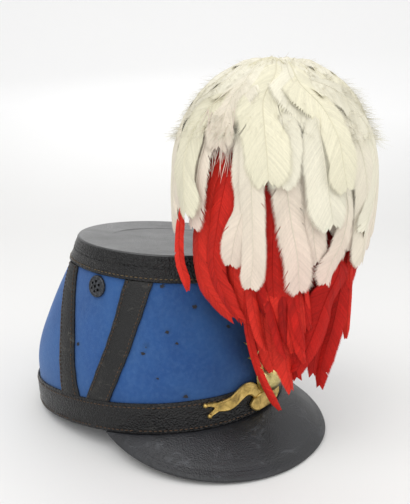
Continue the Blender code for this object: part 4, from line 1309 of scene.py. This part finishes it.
def makeWhiteFeathers():
    rng = random.Random(plume["seed"])
    ivory, cream, pink = (np.array(plume[key]) for key in ("ivory", "cream", "pink"))
    pieces = []

    pile = FeatherPile()
    for inset, count, more in plume["whiteUnder"]:
        for k in range(count):
            degrees = -180 + 360 * (k + 0.3 * more) / count + rng.uniform(-4, 4)
            tip = tipHeight("underTips", degrees) + more + rng.uniform(0, 14)
            stain = rng.uniform(0.0, 0.5)
            addFeather(
                pile, domePath(degrees, 0.0, tip, inset + rng.uniform(-1, 1), rng.uniform(-5, 5), rng),
                rng.uniform(0.020, 0.027), rng, ivory, mixed(ivory, pink, stain), 0.6,
                barb=0.0019, ragged=0.5, cup=0.15, gaps=0.0,
            )
    # the dense down round the head, which closes the gaps between the feathers
    rows, uvs = [], []
    steps, columns, top = 24, 96, 256.6
    for step in range(steps):
        down = step / (steps - 1)
        for k in range(columns):
            degrees = -180 + 360 / columns * k
            low = max(tipHeight("underTips", degrees) + 12, 178)
            if -108 < degrees < -74:  # over the red wedge
                low = 207 + 3 * math.sin(degrees * 1.7)
            height = top - (top - low) * down**1.7
            inset = 1.4 + 3.6 * down**2 - 0.3 * math.sin(k * 2.1 + step)
            radius = max(domeRadius(min(height + 1.2, 257.4)) - inset, 0.4)
            rows.append(plumePoint(degrees, height, radius if step else 0.4))
            uvs.append((0.5, k * 0.37))
    tints = np.tile(mixed(ivory, cream, 0.4), (len(rows), 1))
    pile.add(np.array(rows), np.array(uvs), tints, gridFaces(steps, columns, closeColumns=True, flip=True))
    pieces.append(pile.build("whiteUnderFeathers", whiteFeather))

    # the feathers that the photograph shows
    pile = FeatherPile()
    for name, (width, stained, rows) in plume["white"].items():
        path = [plumePoint(*row) for row in rows]
        first = rows[0]
        if name != "rightSpray":
            path = [plumePoint(first[0], 257, 13), plumePoint(first[0], 252.5, 29)] + path
        yellow = 0.8 if name in ("bulb", "leftYellow", "shortRight") else 0.3
        base = mixed(ivory, cream, yellow)
        loose = 0.45 if name in ("frontPink", "rightSpray", "leftInner", "wedgeTop") else 0.10
        addFeather(
            pile, path, width * 0.00098, rng, base, mixed(base, pink, stained), 0.35, barb=0.00070,
            ragged=0.35 + loose, cup=0.30, fluff=loose * 0.5, lift=0.0006, gaps=loose * 1.8 - 0.1,
        )
    # the outer feathers on the sides that the photograph doesn't show
    for k in range(plume["backFeathers"]):
        degrees = 12 + 222 * k / (plume["backFeathers"] - 1) + rng.uniform(-4, 4)
        tip = rng.uniform(130, 172)
        if 115 < degrees < 245:
            tip = rng.uniform(150, 174)
        stain = rng.choice((0.0, 0.1, 0.4))
        addFeather(
            pile, domePath(degrees, 0.06, tip, 1.0, rng.uniform(-8, 8), rng), rng.uniform(0.022, 0.029), rng,
            mixed(ivory, cream, 0.4), mixed(ivory, pink, stain), 0.5, barb=0.0010, ragged=0.4, cup=0.36, lift=0.0004,
        )
    pieces.append(pile.build("whiteOuterFeathers", whiteFeather))

    # short loose feathers over the top of the plume
    pile = FeatherPile()
    for count, start, finish, inset in plume["tufts"]:
        for k in range(count):
            degrees = -180 + 360 * (k + 0.01 * finish) / count + rng.uniform(-7, 7)
            if finish < 214 and -106 < degrees < -84:
                continue
            yellow = rng.uniform(0, 0.7)
            addFeather(
                pile, domePath(degrees, start, finish + rng.uniform(-7, 7), inset, rng.uniform(-4, 4), rng, 3.5),
                rng.uniform(0.020, 0.030), rng, mixed(ivory, cream, yellow), ivory, 0.6,
                barb=0.0008, ragged=0.8, cup=0.46, fluff=0.06, lift=0.0002, gaps=0.15,
            )
    pieces.append(pile.build("whiteTopFeathers", whiteFeather))

    # down that stands off the dome
    pile = FeatherPile()
    for _ in range(16):
        a = rng.uniform(0, 2 * math.pi)
        addWisps(
            pile, plumePoint(math.degrees(a), 256.5, rng.uniform(0, 5)), np.array([math.sin(a), -math.cos(a), 0.12]),
            np.array([0, 0, 1.0]), 5, 0.012, rng, ivory, spread=0.22, droop=0.4, wide=0.00016,
        )
    for _ in range(plume["down"]):
        a = rng.uniform(0, 2 * math.pi)
        out = math.sqrt(rng.uniform(0.0, 1.0))
        height = 257 - 46 * out**2
        root = plumePoint(math.degrees(a), height - 1.5, domeRadius(height) - 1.0)
        way = root - np.array([*plume["axis"], 0.195])
        way /= np.linalg.norm(way)
        flow = way * 0.22 + np.array([way[0], way[1], -0.36]) * (0.40 + out * math.radians(78))
        yellow = rng.uniform(0, 0.5)
        addWisps(
            pile, root, flow, way, 5, 0.0100, rng, mixed(ivory, cream, yellow), spread=0.28, droop=0.35,
            wide=0.00010,
        )
    for _ in range(70):  # frayed barbs over the top of the red wedge
        degrees = rng.uniform(-108, -82)
        root = plumePoint(degrees, rng.uniform(206, 226), 58.5)
        way = plumePoint(degrees, 200, 1000)
        addWisps(
            pile, root, np.array([way[0] * 0.18, way[1] * 0.18, -0.9]), way, 3, rng.uniform(0.010, 0.020), rng,
            mixed(ivory, pink, 0.5), spread=0.16, droop=0.2, wide=0.00030,
        )
    pieces.append(pile.build("whiteDown", whiteFeather))
    for piece in pieces:
        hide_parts("plume_white")
        print(" ", piece.name, len(piece.data.polygons), "faces")
    print("white feathers made")


def makeRedFeathers():
    rng = random.Random(plume["seed"] + 1)
    scarlet, deep, coral = (np.array(plume[key]) for key in ("scarlet", "deep", "coral"))

    def hanging(degrees, tip, radius, sway, crest):
        fall = crest - tip
        rows = ((0.22, 0.04), (0.47, 0.0), (0.78, 0.08), (0.95, 0.25), (1.00, 0.50), (0.93, 0.78), (0.80, 1.0))
        path = []
        for out, down in rows:
            point = plumePoint(degrees + sway * down**2, crest - fall * down, radius * out)
            point[1] -= 0.013 * down**2
            path.append(point)
        return path

    def reddened(bright):
        return mixed(scarlet, coral if bright > 0 else deep, abs(bright))

    pile = FeatherPile()
    for radius, count, darkness, crest in plume["redUnder"]:
        for k in range(count):
            degrees = -180 + 360 * k / count + rng.uniform(-7, 7)
            tip = tipHeight("redTips", degrees) + rng.uniform(0, 22)
            # painted shade: the deeper layers are darker
            base = mixed(scarlet, deep, darkness)
            addFeather(
                pile, hanging(degrees, tip, radius + rng.uniform(-1.5, 1.5), rng.uniform(-10, 10), crest),
                rng.uniform(0.017, 0.023), rng, base, base * 1.05, 0.5, barb=0.0016, ragged=0.5, cup=0.4,
                outline="blade", roll=rng.uniform(-0.9, 0.9), gaps=0.06, relief=2.2,
            )
    pieces = [pile.build("redUnderFeathers", redFeather)]
    pile = FeatherPile()
    for name, (width, rows) in plume["red"].items():
        path = [plumePoint(*row) for row in rows]
        first = path[0]
        if name != "leftThin":  # each springs from the sleeve, under the white ones
            towards = first - np.array([*plume["axis"], first[2]])
            path.insert(0, first - towards * 0.35 + np.array([0, 0, 0.022]))
        base = reddened(rng.uniform(-0.35, 0.75))
        addFeather(
            pile, path, width * 0.001, rng, base, base, 0.5, barb=0.0007, ragged=0.5, cup=0.42,
            outline="round" if name == "midShort" else "blade", roll=rng.uniform(-0.7, 0.7),
            twist=plume["redTurn"].get(name, 0.0), lift=0.0005, gaps=0.28, relief=2.6,
        )
    for k in range(plume["looseReds"]):  # narrow ones that lie over the rest
        degrees = rng.uniform(-92, -40) if k % 3 else rng.uniform(20, 250)
        tip = tipHeight("redTips", degrees) - rng.uniform(-6, 22)
        base = reddened(rng.uniform(-0.5, 0.9))
        crest = max(tip + rng.uniform(46, 70), 150) if k % 3 else 208
        path = hanging(degrees, tip, rng.uniform(50, 55), rng.uniform(-9, 9), min(crest, 208))
        addFeather(
            pile, path, rng.uniform(0.005, 0.009), rng, base, base, 0.5, barb=0.0010, ragged=0.6, cup=0.5,
            outline="blade", roll=rng.uniform(-0.9, 0.9), lift=0.0005, gaps=0.2, relief=2.6,
        )
    pieces.append(pile.build("redOuterFeathers", redFeather))
    for piece in pieces:
        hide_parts("plume_red")
        print(" ", piece.name, len(piece.data.polygons), "faces")
    print("red feathers made")


makeWhiteFeathers()
makeRedFeathers()

studio = {
    "floor": (0.735, 0.732, 0.725),
    "wall": (0.96, 0.96, 0.96),
    "world": (1.0, 1.0, 1.0),
    "worldStrength": 0.86,
    # place, the height that it faces, size, power, colour
    "lights": {
        "key": ((-0.9, -0.1, 1.5), 0.1, 1.1, 10.0, (1, 1, 1)),
        "fill": ((0.5, -1.5, 0.9), 0.1, 1.3, 5.6, (1.0, 0.98, 0.95)),
        "camera": ((-0.8, -0.7, 0.5), 0.15, 0.8, 2.8, (1, 1, 1)),
        "back": ((1.0, 1.1, 1.3), 0.12, 1.2, 5.0, (1, 1, 1)),
    },
}
photoCamera = {
    "lens": 39.379,
    "place": (-0.3155, -0.25186, 0.20407),
    "look": (0.7811, 0.5955, -0.1875),
    "roll": math.radians(1.21),
}


def makeStudio():
    shade = Shade("paleFloor")
    height = shade.node("ShaderNodeSeparateXYZ", {0: shade.coordinates()}).outputs["Z"]
    # painted shade: the sweep is darker on the floor and lighter up the backdrop
    tone = shade.mix(shade.ramp(height, ((0.0, 0.0), (0.35, 1.0))), studio["floor"], studio["wall"])
    floorMaterial = shade.finish(tone, 0.75, Specular_IOR_Level=0.2)
    # a floor that sweeps up into a backdrop behind the hat
    towards = Vector((*photoCamera["look"][:2], 0)).normalized()
    side = Vector((towards.y, -towards.x, 0))
    bend, halfWidth, flat, top = 1.6, 5.0, 0.9, 4.0
    profile = [(-3.0, 0.0), (flat, 0.0)]
    for k in range(1, 13):
        a = math.radians(90 * k / 12)
        profile.append((flat + bend * math.sin(a), bend - bend * math.cos(a)))
    profile.append((flat + bend, top))
    points = []
    for along, up in profile:
        for across in (-halfWidth, halfWidth):
            points.append(towards * along + side * across + Vector((0, 0, up)))
    mesh = bpy.data.meshes.new("sweep")
    mesh.from_pydata(points, [], [(2 * i, 2 * i + 1, 2 * i + 3, 2 * i + 2) for i in range(len(profile) - 1)])
    mesh.materials.append(floorMaterial)
    mesh.shade_smooth()
    addObject("sweep", mesh)

    world = bpy.data.worlds.new("studio")
    bpy.context.scene.world = world
    world.use_nodes = True
    back = world.node_tree.nodes["Background"]
    back.inputs["Color"].default_value = (*studio["world"], 1)
    back.inputs["Strength"].default_value = studio["worldStrength"]
    for name, (place, facing, size, power, colour) in studio["lights"].items():
        light = bpy.data.lights.new(name, "AREA")
        light.shape = "DISK"
        light.size = size
        light.energy = power
        light.color = colour
        lamp = addObject(name, light)
        lamp.location = place
        lamp.rotation_euler = (Vector((0, 0, facing)) - Vector(place)).to_track_quat("-Z", "Y").to_euler()


def makeCamera():
    # the photograph's viewpoint, found from the hat's own outline
    camera = bpy.data.cameras.new("photoCamera")
    camera.lens = photoCamera["lens"]
    camera.clip_start = 0.01
    holder = addObject("photoCamera", camera)
    look = Vector(photoCamera["look"]).normalized()
    right = look.cross(Vector((0, 0, 1))).normalized()
    turn = Matrix((right, right.cross(look), -look)).transposed() @ Matrix.Rotation(photoCamera["roll"], 3, "Z")
    holder.matrix_world = Matrix.Translation(photoCamera["place"]) @ turn.to_4x4()
    bpy.context.scene.camera = holder


makeStudio()
makeCamera()
bpy.context.scene.view_settings.view_transform = "Standard"
print("studio made")
